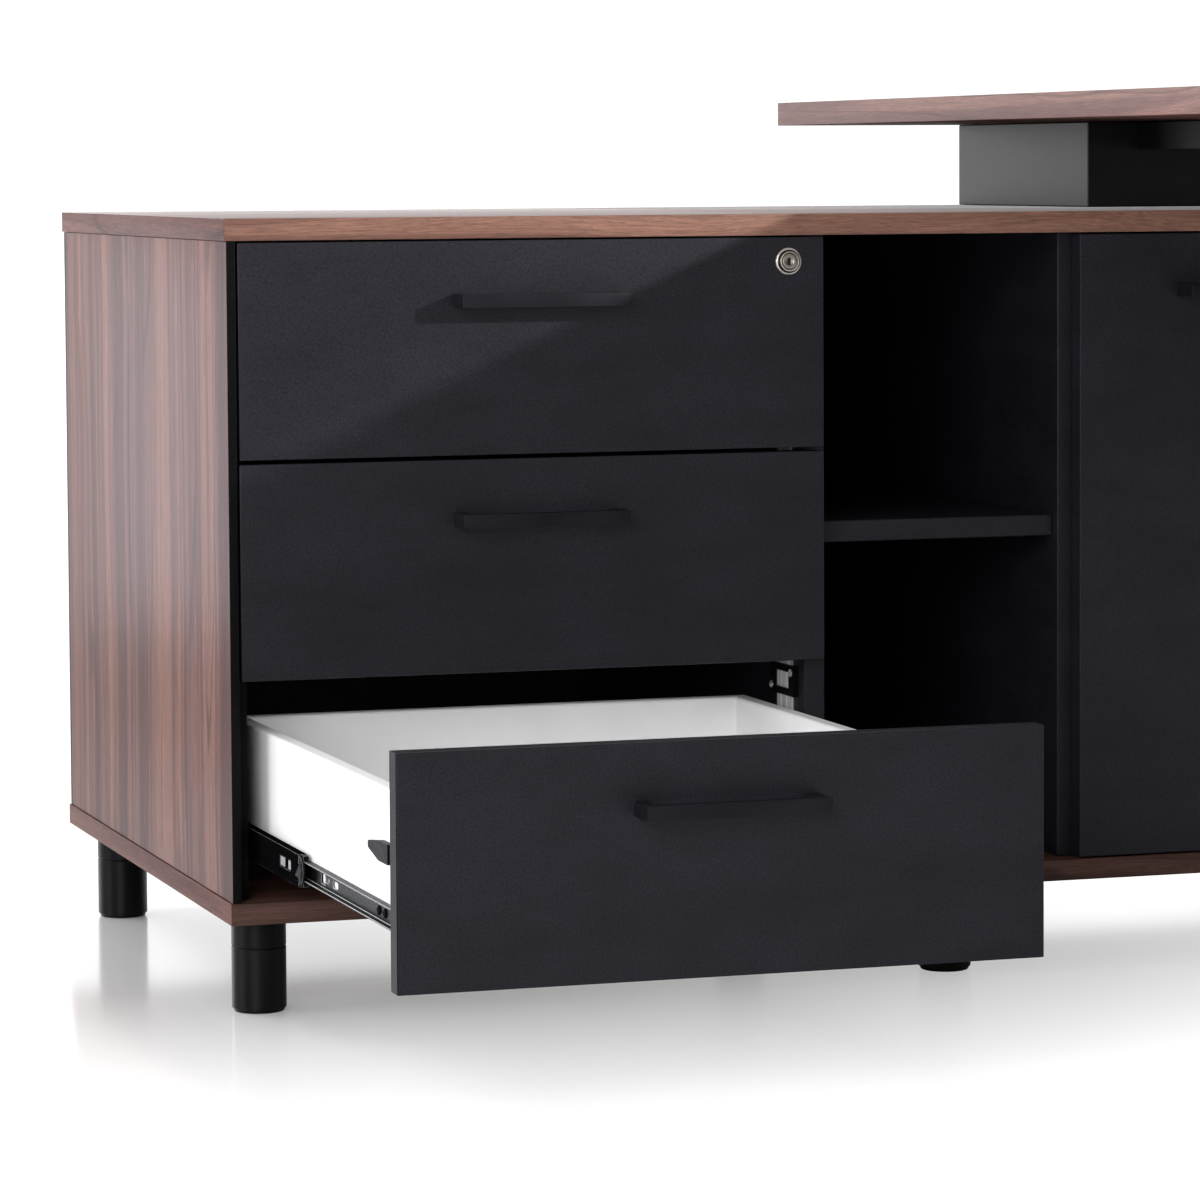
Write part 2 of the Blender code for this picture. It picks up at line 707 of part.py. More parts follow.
def build_lock(drawer):
    """Cylinder lock in the top front and its bar on the left divider."""
    hinge = carrier("lock_turn", (lock_x, 0, lock_z), drawer)
    rise = carrier("lock_rise", (0, 0, 0), ROOT)
    lay = Matrix.Translation((lock_x, 0, lock_z)) @ Matrix.Rotation(math.pi / 2, 4, "X")
    bore = LOCK_CORE_RADIUS + SEAT
    face, seat, tail = LOCK_FLANGE + SEAT, SEAT, -LOCK_BODY_LENGTH
    nose = face + LOCK_NOSE
    profile = [
        (bore, nose - SEAT),
        (LOCK_NOSE_RADIUS - EDGE_SOFT, nose),
        (LOCK_NOSE_RADIUS, nose - EDGE_SOFT),
        (LOCK_NOSE_RADIUS, face),
        (LOCK_FLANGE_RADIUS - 2 * EDGE_SOFT, face),
        (LOCK_FLANGE_RADIUS, face - EDGE_SOFT),
        (LOCK_FLANGE_RADIUS, seat),
        (LOCK_BODY_RADIUS, seat),
        (LOCK_BODY_RADIUS, tail),
        (bore, tail),
    ]
    node("lock_cylinder", turned(profile, lay, closed=True), NICKEL, drawer, smooth=True)
    plug = [
        (0, nose),
        (LOCK_CORE_RADIUS - EDGE_SOFT, nose),
        (LOCK_CORE_RADIUS, nose - EDGE_SOFT),
        (LOCK_CORE_RADIUS, tail - 2 * SEAT),
        (0, tail - 2 * SEAT),
    ]
    core = node("lock_core", turned(plug, lay), NICKEL, hinge, smooth=True)
    slot_wide, slot_tall = KEY_SLOT
    slot = box(
        (lock_x - slot_wide / 2, -nose - KEY_SLOT_DEPTH, lock_z - slot_tall / 2),
        (lock_x + slot_wide / 2, -nose + KEY_SLOT_DEPTH, lock_z + slot_tall / 2),
    )
    cut(core, [slot], "key_slot")
    cam_front = LOCK_BODY_LENGTH + SEAT
    cam = box(
        (lock_x - CAM_WIDTH / 2, cam_front, lock_z - CAM_WIDTH / 2),
        (lock_x + CAM_LENGTH, cam_front + CAM_SHEET, lock_z + CAM_WIDTH / 2),
    )
    join(core, [cam], "cam")

    low, high = base_top + LOCK_BAR_RISE, roof - LOCK_BAR_RISE
    strip = box((bar_left, bar_front, low), (bar_right, bar_front + LOCK_BAR_WIDTH, high))
    bar = node("lock_bar", strip, ALUMINIUM, rise)
    groove_wide, groove_deep = LOCK_BAR_GROOVE
    thirds = [bar_front + LOCK_BAR_WIDTH * share for share in (0.3, 0.7)]
    grooves = [
        box((bar_left - groove_deep, y - groove_wide / 2, 0),
            (bar_left + groove_deep, y + groove_wide / 2, CAB_HEIGHT))
        for y in thirds
    ]
    cut(bar, grooves, "grooves")
    pins = []
    for index in range(drawer_count):
        low_edge = fronts_bottom + index * (front_height + FRONT_GAP)
        z = low_edge + CATCH_RISE - CATCH_HEIGHT / 2 - LOCK_PIN_RADIUS - REVEAL
        y = bar_front + LOCK_BAR_WIDTH / 2
        pins.append(rod((bar_left - LOCK_PIN_REACH, y, z), (bar_left + BITE, y, z), LOCK_PIN_RADIUS))
    join(bar, pins, "pins")


def bar_guides():
    """Guides on the left divider, each a frame round the lock bar, beside all drawers but the top one."""
    blanks = []
    face = bar_left - SEAT
    front, rear = bar_front - SEAT, bar_front + LOCK_BAR_WIDTH + SEAT
    for index in range(drawer_count - 1):
        low = fronts_bottom + index * (front_height + FRONT_GAP) + GUIDE_RISE
        high = low + GUIDE_HEIGHT
        corner = (face - GUIDE_THICK, front - GUIDE_POST, low)
        blanks.append(box(corner, (divider_1 + BITE, rear + GUIDE_POST, high)))
    return blanks


def bar_windows():
    """What is open in the guides: the bar's own passage, and a window that leaves two bridges over it."""
    front, rear = bar_front - SEAT, bar_front + LOCK_BAR_WIDTH + SEAT
    blanks = [box((bar_left - SEAT, front, 0), (bar_right + SEAT, rear, CAB_HEIGHT))]
    for index in range(drawer_count - 1):
        low = fronts_bottom + index * (front_height + FRONT_GAP) + GUIDE_RISE
        near, far = low + GUIDE_BRIDGE, low + GUIDE_HEIGHT - GUIDE_BRIDGE
        blanks.append(box((bar_left - GUIDE_POST, front, near), (bar_left, rear, far)))
    return blanks


def hinge_heights():
    """Heights of the two hinges of a door."""
    return (fronts_bottom + HINGE_END, fronts_top - HINGE_END)


def build_door(name, left, right, hinge_x, way):
    """A door with its handle and hinge cups; way points from the hinge edge into the door."""
    body = carrier(f"{name}_door", (hinge_x, 0, 0), ROOT)
    middle = (left + right) / 2
    handle_z = fronts_top - HANDLE_DROP
    panel = box((left, 0, fronts_bottom), (right, FRONT_BOARD, fronts_top))
    door = node(f"{name}_door_panel", panel, BLACK, body)
    soften(door, EDGE_SOFT, 2)
    cup_x = hinge_x + way * HINGE_CUP_INSET
    flanges, dishes = [], []
    for z in hinge_heights():
        root, face = (cup_x, FRONT_BOARD - BITE, z), (cup_x, hinge_face, z)
        flanges.append(rod(root, face, HINGE_FLANGE_RADIUS, ROUND_STEPS))
        floor, past = (cup_x, hinge_face - HINGE_DISH, z), (cup_x, hinge_face + BITE, z)
        dishes.append(rod(floor, past, HINGE_CUP_RADIUS, ROUND_STEPS))
    join(door, flanges, "hinge_cups")
    cut(door, dishes, "hinge_dishes")
    build_handle(f"{name}_door_handle", middle, handle_z, body)


def hinge_plates(wall, way):
    """Plates of one door's hinges on the wall beside it."""
    sheet, length, height = HINGE_PLATE
    near, far = sorted((wall - way * BITE, wall + way * sheet))
    front = inner_front + EDGE_SOFT + SEAT
    return [
        box((near, front, z - height / 2), (far, front + length, z + height / 2)) for z in hinge_heights()
    ]


def hinge_arms(wall, way):
    """Arms of one door's hinges, which reach forwards from their plates to the door's cups."""
    reach, length, height = HINGE_ARM
    near, far = sorted((wall + way * HINGE_PLATE[0] / 2, wall + way * reach))
    front = hinge_face + SEAT
    return [
        box((near, front, z - height / 2), (far, front + length, z + height / 2)) for z in hinge_heights()
    ]


def build_doors():
    """Both doors, hinged at their outer front edges."""
    split = doors_left + door_width
    build_door("left", doors_left, split, doors_left, 1)
    build_door("right", split + DOOR_GAP, doors_right, doors_right, -1)


def build_legs():
    """Round legs under the base: a collar, a threaded foot and a glide, with a seam between them."""
    columns = (("left", LEG_INSET_X), ("middle", MID_LEG_X), ("right", CAB_WIDTH - LEG_INSET_X))
    rows = (("front", LEG_INSET_Y), ("rear", CAB_DEPTH - LEG_INSET_Y))
    seam = LEG_HEIGHT - LEG_COLLAR
    neck, glide = LEG_RADIUS - LEG_SOFT, LEG_RADIUS - LEG_GLIDE_INSET
    profile = [
        (0, LEG_HEIGHT - SEAT),
        (LEG_RADIUS, LEG_HEIGHT - SEAT),
        (LEG_RADIUS, seam + LEG_SOFT / 2),
        (neck, seam + LEG_SOFT / 4),
        (neck, seam - LEG_SOFT / 4),
        (LEG_RADIUS, seam - LEG_SOFT / 2),
        (LEG_RADIUS, LEG_GLIDE),
        (glide, LEG_GLIDE),
        (glide, LEG_SOFT),
        (glide - LEG_SOFT, 0),
        (0, 0),
    ]
    for row, y in rows:
        for column, x in columns:
            leg = turned(profile, Matrix.Translation((x, y, 0)))
            node(f"{row}_{column}_leg", leg, STEEL, smooth=True)


def build_underframe(high):
    """Welded steel underframe: a loop leg on two glides, and two beams back to the riser."""
    loop = box((frame_left, frame_near, FRAME_GLIDE), (frame_right, frame_far, high))
    frame = node("underframe", loop, STEEL)
    window = box(
        (frame_left + FRAME_TUBE_X, frame_near - FRAME_TUBE_Y, FRAME_GLIDE + FRAME_RAIL),
        (frame_right - FRAME_TUBE_X, frame_far + FRAME_TUBE_Y, high - FRAME_RAIL),
    )
    cut(frame, [window], "window")
    soften(frame, EDGE_SOFT)
    beam_low = max(high - BEAM_HEIGHT, CAB_HEIGHT + BEAM_CLEAR)
    beams = [
        box((x, frame_far - BITE, beam_low), (x + BEAM_WIDTH, riser_front - SEAT, high - EDGE_SOFT))
        for x in (riser_left + BEAM_INSET, riser_right - BEAM_INSET - BEAM_WIDTH)
    ]
    join(frame, beams, "beams")
    radius, inset = FRAME_GLIDE_RADIUS, FRAME_GLIDE_RADIUS + FRAME_TUBE_X / 2
    y = (frame_near + frame_far) / 2
    profile = [
        (0, FRAME_GLIDE + BITE),
        (radius / 2, FRAME_GLIDE + BITE),
        (radius / 2, FRAME_GLIDE / 2 + BITE),
        (radius, FRAME_GLIDE / 2),
        (radius, LEG_SOFT),
        (radius - LEG_SOFT, 0),
        (0, 0),
    ]
    glides = [
        turned(profile, Matrix.Translation((x, y, 0))) for x in (frame_left + inset, frame_right - inset)
    ]
    join(frame, glides, "glides")


def build_desk():
    """Desk top, riser, underframe and modesty panel."""
    top = box((desk_left, desk_front, desk_under), (CAB_WIDTH, CAB_DEPTH, DESK_HEIGHT))
    node("desk_top", top, WALNUT, soft=EDGE_SOFT)
    low, high = CAB_HEIGHT + SEAT, desk_under - SEAT
    riser = box((riser_left, riser_front, low), (riser_right, riser_back, high))
    node("riser", riser, BLACK, soft=EDGE_SOFT)
    build_underframe(high)
    panel_right = CAB_WIDTH - MODESTY_INSET
    panel_left = panel_right - BOARD
    panel_near, panel_far = frame_far + SEAT, -door_width - MODESTY_DOOR_CLEAR
    panel = box((panel_left, panel_near, high - MODESTY_HEIGHT), (panel_right, panel_far, high))
    node("modesty_panel", panel, BLACK, soft=EDGE_SOFT)


build_carcass()
build_shelves()
for number, drawer_name in enumerate(DRAWER_NAMES):
    made_drawer = build_drawer(number, drawer_name)
build_lock(made_drawer)
build_doors()
build_legs()
build_desk()
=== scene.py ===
# %% [markdown]
# # An executive desk in walnut and black
#
# The desk is an L: a low storage return with three drawers, an open bay and a cupboard, and a desk top that
# stands on the return at one end and on a steel loop leg at the other. The bottom drawer is pulled out, so
# its telescopic slides and white box show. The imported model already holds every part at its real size, so
# this lesson gives the boards, metal and plastic their finish, and remakes the pieces whose rounding shows.

import json

import bpy
import numpy as np
from mathutils import Matrix, Vector


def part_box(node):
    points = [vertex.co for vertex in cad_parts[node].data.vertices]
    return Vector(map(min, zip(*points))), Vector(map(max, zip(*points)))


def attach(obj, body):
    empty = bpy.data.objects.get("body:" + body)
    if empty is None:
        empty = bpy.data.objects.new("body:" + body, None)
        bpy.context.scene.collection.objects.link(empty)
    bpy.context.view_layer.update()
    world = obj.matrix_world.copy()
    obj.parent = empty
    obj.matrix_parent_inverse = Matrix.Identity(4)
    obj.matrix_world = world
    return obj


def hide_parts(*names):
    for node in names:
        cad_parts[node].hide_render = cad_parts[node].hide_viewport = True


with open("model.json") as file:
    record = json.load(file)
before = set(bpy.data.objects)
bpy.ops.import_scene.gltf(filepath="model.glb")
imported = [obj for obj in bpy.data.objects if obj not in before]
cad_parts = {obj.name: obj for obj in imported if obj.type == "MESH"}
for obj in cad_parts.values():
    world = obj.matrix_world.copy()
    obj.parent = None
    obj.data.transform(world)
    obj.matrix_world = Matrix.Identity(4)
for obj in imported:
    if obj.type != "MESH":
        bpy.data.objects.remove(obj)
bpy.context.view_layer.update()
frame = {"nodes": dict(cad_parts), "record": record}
nodes = frame["nodes"]
MM = 0.001

# %% [markdown]
# ## Places
#
# A joiner measures a cabinet from its front left corner on the floor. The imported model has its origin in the
# middle of the footprint, so one small function turns the joiner's millimetres into scene metres, and another
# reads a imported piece's corners back in the joiner's way.

# %% Measuring from the return's front left corner
CORNER = np.array([-0.7, 0.25, 0.0])


def place(points):
    """Joiner's millimetres to scene metres: scale by a thousandth, then shift to the corner."""
    return np.asarray(points, float) * MM + CORNER


def corners(node):
    """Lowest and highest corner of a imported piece, in the joiner's millimetres."""
    return [(np.array(corner) - CORNER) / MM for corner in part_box(node)]


print("top board:", [corner.round(1).tolist() for corner in corners("cabinet_top")])

# %% [markdown]
# ## Camera
#
# The photograph was taken from the left of the return with a long lens, a little above its top, with the
# horizon raised in the frame. The camera's place and angles were worked out from the cabinet's edges. A long
# lens keeps the uprights nearly parallel, and a lens shift puts the horizon where it belongs.

# %% Camera at the photograph's viewpoint
CAMERA_PLACE = (-886, -3739, 692)
YAW, PITCH, ROLL = np.radians((17.796, -3.775, -0.325))
FOCAL_SHARE = 4791 / 1200
RAISED = -0.1
FILM_WIDTH, FAR_END = 36, 60

ahead = np.array([np.sin(YAW) * np.cos(PITCH), np.cos(YAW) * np.cos(PITCH), np.sin(PITCH)])
level = np.array([np.cos(YAW), -np.sin(YAW), 0.0])
above = np.cross(level, ahead)
right = np.cos(ROLL) * level + np.sin(ROLL) * above
up = np.cos(ROLL) * above - np.sin(ROLL) * level
lens = bpy.data.cameras.new("camera")
lens.sensor_width = FILM_WIDTH
lens.lens = FILM_WIDTH * FOCAL_SHARE
lens.shift_y = RAISED
lens.clip_end = FAR_END
camera = bpy.data.objects.new("camera", lens)
bpy.context.scene.collection.objects.link(camera)
turn = Matrix(np.stack([right, up, -ahead], axis=1).tolist()).to_4x4()
camera.matrix_world = Matrix.Translation(Vector(place(CAMERA_PLACE))) @ turn
bpy.context.scene.camera = camera
print("lens", round(lens.lens, 1), "mm")

# %% [markdown]
# ## Colours and nodes
#
# Colours are written as the hex values that a paint programme shows, and one function turns them into the
# linear light that Blender works in. A second small function adds a node, sets its values, links its inputs
# and, on a colour ramp, sets the stops, so that a finish reads as a short list of steps.


# %% Small tools for finishes
def linear(code):
    """sRGB hex to linear light: each channel through the sRGB curve."""
    share = np.array([int(code[i:i + 2], 16) for i in (1, 3, 5)]) / 255
    low, high = share / 12.92, ((share + 0.055) / 1.055) ** 2.4
    return (*np.where(share <= 0.04045, low, high).tolist(), 1.0)


def add(tree, kind, inputs, stops=(), **settings):
    """Add a node: inputs are values or links by socket name or number, stops are places and hex colours."""
    made = tree.nodes.new(kind)
    for key, value in settings.items():
        setattr(made, key, value)
    for key, value in inputs.items():
        if isinstance(value, bpy.types.NodeSocket):
            tree.links.new(value, made.inputs[key])
        else:
            made.inputs[key].default_value = value
    for number, (position, code) in enumerate(stops):
        marks = made.color_ramp.elements
        mark = marks[number] if number < 2 else marks.new(position)
        mark.position = position
        mark.color = linear(code)
    return made


print("walnut brown in linear light:", [round(value, 3) for value in linear("#926a5f")])

# %% [markdown]
# Every finish starts the same way: a new material, its shader, and the piece's own coordinates, which are in
# metres. The patterns are noise whose patches have a real size, so a pattern's scale is one over that size.
# Most of a noise lies between 0.3 and 0.7, and the ramps below are set to that span.

# %% A new finish and its pattern
NOISE_LOW, NOISE_HIGH = 0.3, 0.7
OVERLAID = {"data_type": "RGBA", "blend_type": "OVERLAY"}


def finish_named(name, roughness, metallic=0.0):
    """A new material: its tree, its Principled shader and the piece's own coordinates."""
    made = bpy.data.materials.new(name)
    made.use_nodes = True
    tree = made.node_tree
    shader = tree.nodes["Principled BSDF"]
    shader.inputs["Roughness"].default_value = roughness
    shader.inputs["Metallic"].default_value = metallic
    where = add(tree, "ShaderNodeTexCoord", {})
    return made, tree, shader, where.outputs["Object"]


def patches(tree, spot, sizes, detail, rough, shift=0.0):
    """Noise whose patches measure sizes millimetres along X, Y and Z: coordinates times one over the size."""
    scale = [1 / (size * MM) for size in sizes]
    moved = (shift, 0.7 * shift, 1.3 * shift)
    mapped = add(tree, "ShaderNodeMapping", {"Vector": spot, "Scale": scale, "Location": moved})
    noise = add(
        tree,
        "ShaderNodeTexNoise",
        {"Vector": mapped.outputs[0], "Scale": 1.0, "Detail": detail, "Roughness": rough},
    )
    return noise.outputs["Fac"]


print("a pattern of 48 mm has a scale of", round(1 / (48 * MM), 1), "per metre")

# %% [markdown]
# ## Walnut melamine
#
# The return's top, base and ends and the desk top are faced with walnut-print melamine: paper printed with
# walnut grain under clear resin, pressed against a plate with fine pores. To the eye it is a brown with
# pinkish light bands and grey dark ones, each a few centimetres wide, thin dark growth lines, and short pores
# along the grain. Noise drawn out along one axis gives all of them, so one function makes the finish for
# boards whose grain runs along X, Y or Z. The growth lines lie on the contours of a slow noise, as the rings
# of a tree do on a sawn board. Fibres of 1.1 mm and pores of 0.8 mm are coarser than real ones, so that they
# show.

# %% Walnut grain
WALNUT_BANDS = (
    (0.32, "#6f4e49"),
    (0.7, "#ad8375"),
    (0.42, "#7f5b56"),
    (0.46, "#9b756c"),
    (0.5, "#957068"),
    (0.51, "#7f5b54"),
    (0.57, "#926a5f"),
    (0.59, "#a87f72"),
)
STREAK_GREYS = ((NOISE_LOW, "#5c5c5c"), (NOISE_HIGH, "#9c9c9c"))
FIBRE_GREYS = ((NOISE_LOW, "#606060"), (NOISE_HIGH, "#a0a0a0"))
LINE_BROWN = linear("#4d3531")
STREAK_SHARE, FIBRE_SHARE = 0.45, 0.8
WANDER = 14 * MM
CONTOURS = 75.0
PORE_DEPTH = 0.06 * MM


def walnut(name, along, roughness, mirror, tint):
    """Noise drawn out along the grain: bands, lines on its contours, fibres and pores, times a tint."""
    made, tree, shader, spot = finish_named(name, roughness)
    drift = patches(tree, spot, (300, 300, 300), 1.5, 0.5, 5.3)
    wander = add(tree, "ShaderNodeMapRange", {"Value": drift, "To Min": -WANDER, "To Max": WANDER})
    sway = add(tree, "ShaderNodeVectorMath", {0: (1, 1, 1), "Scale": wander.outputs[0]}, operation="SCALE")
    bent = add(tree, "ShaderNodeVectorMath", {0: spot, 1: sway.outputs[0]}, operation="ADD").outputs[0]

    def grain(across, length, detail, rough, shift):
        """Noise with patches across millimetres wide and length millimetres long."""
        sizes = [across] * 3
        sizes[along] = length
        return patches(tree, bent, sizes, detail, rough, shift)

    bands = add(tree, "ShaderNodeValToRGB", {0: grain(48, 3200, 2.0, 0.5, 0.0)}, WALNUT_BANDS).outputs[0]
    streaks = add(tree, "ShaderNodeValToRGB", {0: grain(6, 420, 3.0, 0.6, 4.2)}, STREAK_GREYS).outputs[0]
    streaked = add(tree, "ShaderNodeMix", {0: STREAK_SHARE, 6: bands, 7: streaks}, **OVERLAID).outputs[2]
    slow = grain(120, 3000, 1.0, 0.5, 7.7)
    turns = add(tree, "ShaderNodeMath", {0: slow, 1: CONTOURS}, operation="MULTIPLY").outputs[0]
    rings = add(tree, "ShaderNodeMath", {0: turns}, operation="SINE").outputs[0]
    crests = {"Value": rings, "From Min": 0.93, "From Max": 1.0, "To Min": 0.0, "To Max": 0.6}
    lines = add(tree, "ShaderNodeMapRange", crests).outputs[0]
    lined = add(tree, "ShaderNodeMix", {0: lines, 6: streaked, 7: LINE_BROWN}, data_type="RGBA").outputs[2]
    fibres = add(tree, "ShaderNodeValToRGB", {0: grain(1.1, 38, 3.0, 0.65, 3.1)}, FIBRE_GREYS).outputs[0]
    fibrous = add(tree, "ShaderNodeMix", {0: FIBRE_SHARE, 6: lined, 7: fibres}, **OVERLAID).outputs[2]
    pores = grain(0.8, 12, 1.0, 0.5, 1.9)
    hollows = {"Value": pores, "From Min": 0.42, "From Max": 0.32, "To Min": 0.0, "To Max": 0.5}
    pits = add(tree, "ShaderNodeMapRange", hollows).outputs[0]
    pitted = add(tree, "ShaderNodeMix", {0: pits, 6: fibrous, 7: LINE_BROWN}, data_type="RGBA").outputs[2]
    tinting = {0: 1.0, 6: pitted, 7: (*tint, 1.0)}
    toned = add(tree, "ShaderNodeMix", tinting, data_type="RGBA", blend_type="MULTIPLY").outputs[2]
    tree.links.new(toned, shader.inputs["Base Color"])
    shader.inputs["Specular IOR Level"].default_value = mirror
    relief = add(tree, "ShaderNodeBump", {"Height": pores, "Distance": PORE_DEPTH, "Strength": 0.5})
    tree.links.new(relief.outputs[0], shader.inputs["Normal"])
    return made


print("walnut is drawn with", len(WALNUT_BANDS), "browns in its bands")

# %% [markdown]
# Faces and edge bands do not come from one roll of paper, so the ends are a deeper brown and the front bands
# are
# warmer. The base is darker and the band on the desk top's end paler, and these two tints are painted light:
# painted shade on the base, a painted highlight on that band. Each is the same grain times its own tint. The
# number before the tint is the share of mirror light. The pores of the return's top haze it white when it is
# seen along its surface; sheen, which grows towards grazing light, gives that without a glare.

# %% The walnut of each board
PLAIN, WARM, DEEP = (1.0, 1.0, 1.0), (1.11, 1.0, 0.89), (0.94, 0.82, 0.8)
# The first tint on the next line darkens the base's faces and front band: it is painted shade.
PAINTED_SHADE_TINT, PAINTED_HIGHLIGHT_TINT = (0.54, 0.48, 0.43), (1.6, 1.48, 1.44)
walnut_x = walnut("walnut_melamine_along_x", 0, 0.6, 0.1, PLAIN)
walnut_y = walnut("walnut_melamine_along_y", 1, 0.42, 0.03, DEEP)
walnut_z = walnut("walnut_melamine_along_z", 2, 0.32, 0.03, DEEP)
walnut_desk = walnut("walnut_desk_top_along_y", 1, 0.6, 0.1, PLAIN)
walnut_base_painted_shade = walnut("walnut_base_along_x", 0, 0.55, 0.03, PAINTED_SHADE_TINT)
walnut_band = walnut("walnut_edge_band_along_x", 0, 0.5, 0.3, WARM)
# This band's tint lightens it well beyond walnut: a painted highlight standing for glare along the edge.
walnut_desk_band_painted_highlight = walnut("walnut_desk_edge_band_along_y", 1, 0.42, 0.4, PAINTED_HIGHLIGHT_TINT)
walnut_low_band_painted_shade = walnut("walnut_low_edge_band_along_x", 0, 0.5, 0.2, PAINTED_SHADE_TINT)
top_shader = walnut_x.node_tree.nodes["Principled BSDF"]
top_shader.inputs["Sheen Weight"].default_value = 0.34
top_shader.inputs["Sheen Roughness"].default_value = 0.25
print("walnut finishes:", sum("walnut" in made.name for made in bpy.data.materials))

# %% [markdown]
# ## Black melamine
#
# Fronts, dividers, shelves and riser are the same board with a charcoal paper. Its plate leaves a fine
# pebbled grain that breaks up reflections into a soft, slightly cloudy grey. Very slow noise gives the clouds
# and fine noise the grain; the grain is drawn at 1.8 mm, coarser than the real 0.3 mm, so that it shows. The
# grain also changes the gloss from place to place and stands in relief.

# %% Black melamine
PEBBLE_GREYS = ((NOISE_LOW, "#808080"), (NOISE_HIGH, "#e8e8e8"))
CLOUD_SIZES, PEBBLE_SIZES = (90, 90, 40), (1.8, 1.8, 1.8)
PEBBLE_SHARE, PEBBLE_GLOSS, PEBBLE_DEPTH = 0.8, 0.06, 0.05


def gritty(tree, shader, grit, roughness, spread, depth):
    """Grit moves the roughness by a spread either way, and stands in a relief of depth millimetres."""
    gloss = add(
        tree,
        "ShaderNodeMapRange",
        {
            "Value": grit,
            "From Min": NOISE_LOW,
            "From Max": NOISE_HIGH,
            "To Min": roughness - spread,
            "To Max": roughness + spread,
        },
    )
    tree.links.new(gloss.outputs[0], shader.inputs["Roughness"])
    relief = add(tree, "ShaderNodeBump", {"Height": grit, "Distance": depth * MM, "Strength": 0.5})
    tree.links.new(relief.outputs[0], shader.inputs["Normal"])


def black_melamine(name, base, cloud, roughness, mirror):
    """Charcoal with slow clouds in colour and a pebbled relief; mirror is its share of mirror light."""
    made, tree, shader, spot = finish_named(name, roughness)
    shader.inputs["Specular IOR Level"].default_value = mirror
    clouds = patches(tree, spot, CLOUD_SIZES, 3.0, 0.6)
    grit = patches(tree, spot, PEBBLE_SIZES, 2.0, 0.6)
    charcoals = ((NOISE_LOW, base), (NOISE_HIGH, cloud))
    tones = add(tree, "ShaderNodeValToRGB", {0: clouds}, charcoals).outputs[0]
    grains = add(tree, "ShaderNodeValToRGB", {0: grit}, PEBBLE_GREYS).outputs[0]
    pebbled = add(tree, "ShaderNodeMix", {0: PEBBLE_SHARE, 6: tones, 7: grains}, **OVERLAID)
    tree.links.new(pebbled.outputs[2], shader.inputs["Base Color"])
    gritty(tree, shader, grit, roughness, PEBBLE_GLOSS, PEBBLE_DEPTH)
    return made


black_board = black_melamine("black_melamine", "#17161c", "#1e1d24", 0.42, 0.2)
black_satin = black_melamine("black_satin_melamine", "#08090c", "#14161b", 0.38, 0.5)
black_band = black_melamine("black_abs_edge_band", "#0a0a0b", "#0e0e10", 0.4, 0.04)
print("black boards:", [made.name for made in (black_board, black_satin, black_band)])

# %% [markdown]
# ## White foil, paints and plastics
#
# The drawer boxes are thin board wrapped in white foil, smooth with a soft sheen. Handles, legs and the loop
# leg are powder coated: paint baked from powder, with a faint orange-peel relief. The slides are black
# electro-coated steel, thinner and glossier, with a painted highlight of light grey along their edges.
# Catches, bar guides and glides are moulded ABS. All are one idea: two near colours that change slowly, and
# grit of a given size.

# %% Foil, paints and plastics
GRIT_GLOSS = 0.05
SLOW_SIZES, SLOW_LOW, SLOW_HIGH = (60, 60, 60), 0.35, 0.65


def coated(name, base, patch, roughness, grit_mm, depth, mirror=0.5):
    """A paint or plastic: slow change between two colours, and grit in relief and in gloss."""
    made, tree, shader, spot = finish_named(name, roughness)
    shader.inputs["Specular IOR Level"].default_value = mirror
    slow = patches(tree, spot, SLOW_SIZES, 2.0, 0.5)
    tones = add(tree, "ShaderNodeValToRGB", {0: slow}, ((SLOW_LOW, base), (SLOW_HIGH, patch)))
    tree.links.new(tones.outputs[0], shader.inputs["Base Color"])
    grit = patches(tree, spot, [grit_mm] * 3, 2.0, 0.5)
    gritty(tree, shader, grit, roughness, GRIT_GLOSS, depth)
    return made


white_foil = coated("white_pvc_foil", "#f4f4f4", "#f8f8f8", 0.38, 6.0, 0.01)
powder_coat = coated("black_powder_coat", "#141419", "#1c1c22", 0.4, 1.2, 0.03, 0.1)
slide_coat = coated("black_electrocoat_steel", "#09090a", "#0e0e0f", 0.3, 3.0, 0.001, 0.02)
slide_web = coated("black_electrocoat_web", "#060607", "#0a0a0b", 0.3, 3.0, 0.001, 0.0)
# A light grey for the slides' bevels: a painted highlight along their edges.
slide_edge_painted_highlight = coated("electrocoat_edge_painted_highlight", "#8a8a8c", "#a0a0a2", 0.25, 3.0, 0.001, 0.6)
leg_coat = coated("black_leg_lacquer", "#060607", "#09090a", 0.35, 1.2, 0.02, 0.12)
black_plastic = coated("black_abs_plastic", "#0b0b0c", "#111112", 0.38, 0.9, 0.02, 0.02)
print("finishes so far:", len(bpy.data.materials))

# %% [markdown]
# ## Bright metal
#
# The lock is zinc with satin nickel plate, its bar drawn aluminium with die lines along its length, and
# screws, pins and hinges bright plated steel. All show fine lines one way. Anodising and a dull zinc plate
# are oxide films over the metal, so those two are mixed with a plain surface.

# %% Metals with drawn lines
LINE_GLOSS, LINE_LENGTH = 0.08, 60


def drawn_metal(name, base, bright, roughness, along, spacing=0.6, metallic=1.0):
    """Metal with fine lines along one axis, in colour and gloss; an oxide film makes it less metallic."""
    made, tree, shader, spot = finish_named(name, roughness, metallic)
    sizes = [spacing] * 3
    sizes[along] = LINE_LENGTH
    lines = patches(tree, spot, sizes, 2.0, 0.5)
    tones = add(tree, "ShaderNodeValToRGB", {0: lines}, ((NOISE_LOW, base), (NOISE_HIGH, bright)))
    tree.links.new(tones.outputs[0], shader.inputs["Base Color"])
    spread = {"Value": lines, "To Min": roughness - LINE_GLOSS, "To Max": roughness + LINE_GLOSS}
    gloss = add(tree, "ShaderNodeMapRange", spread)
    tree.links.new(gloss.outputs[0], shader.inputs["Roughness"])
    return made


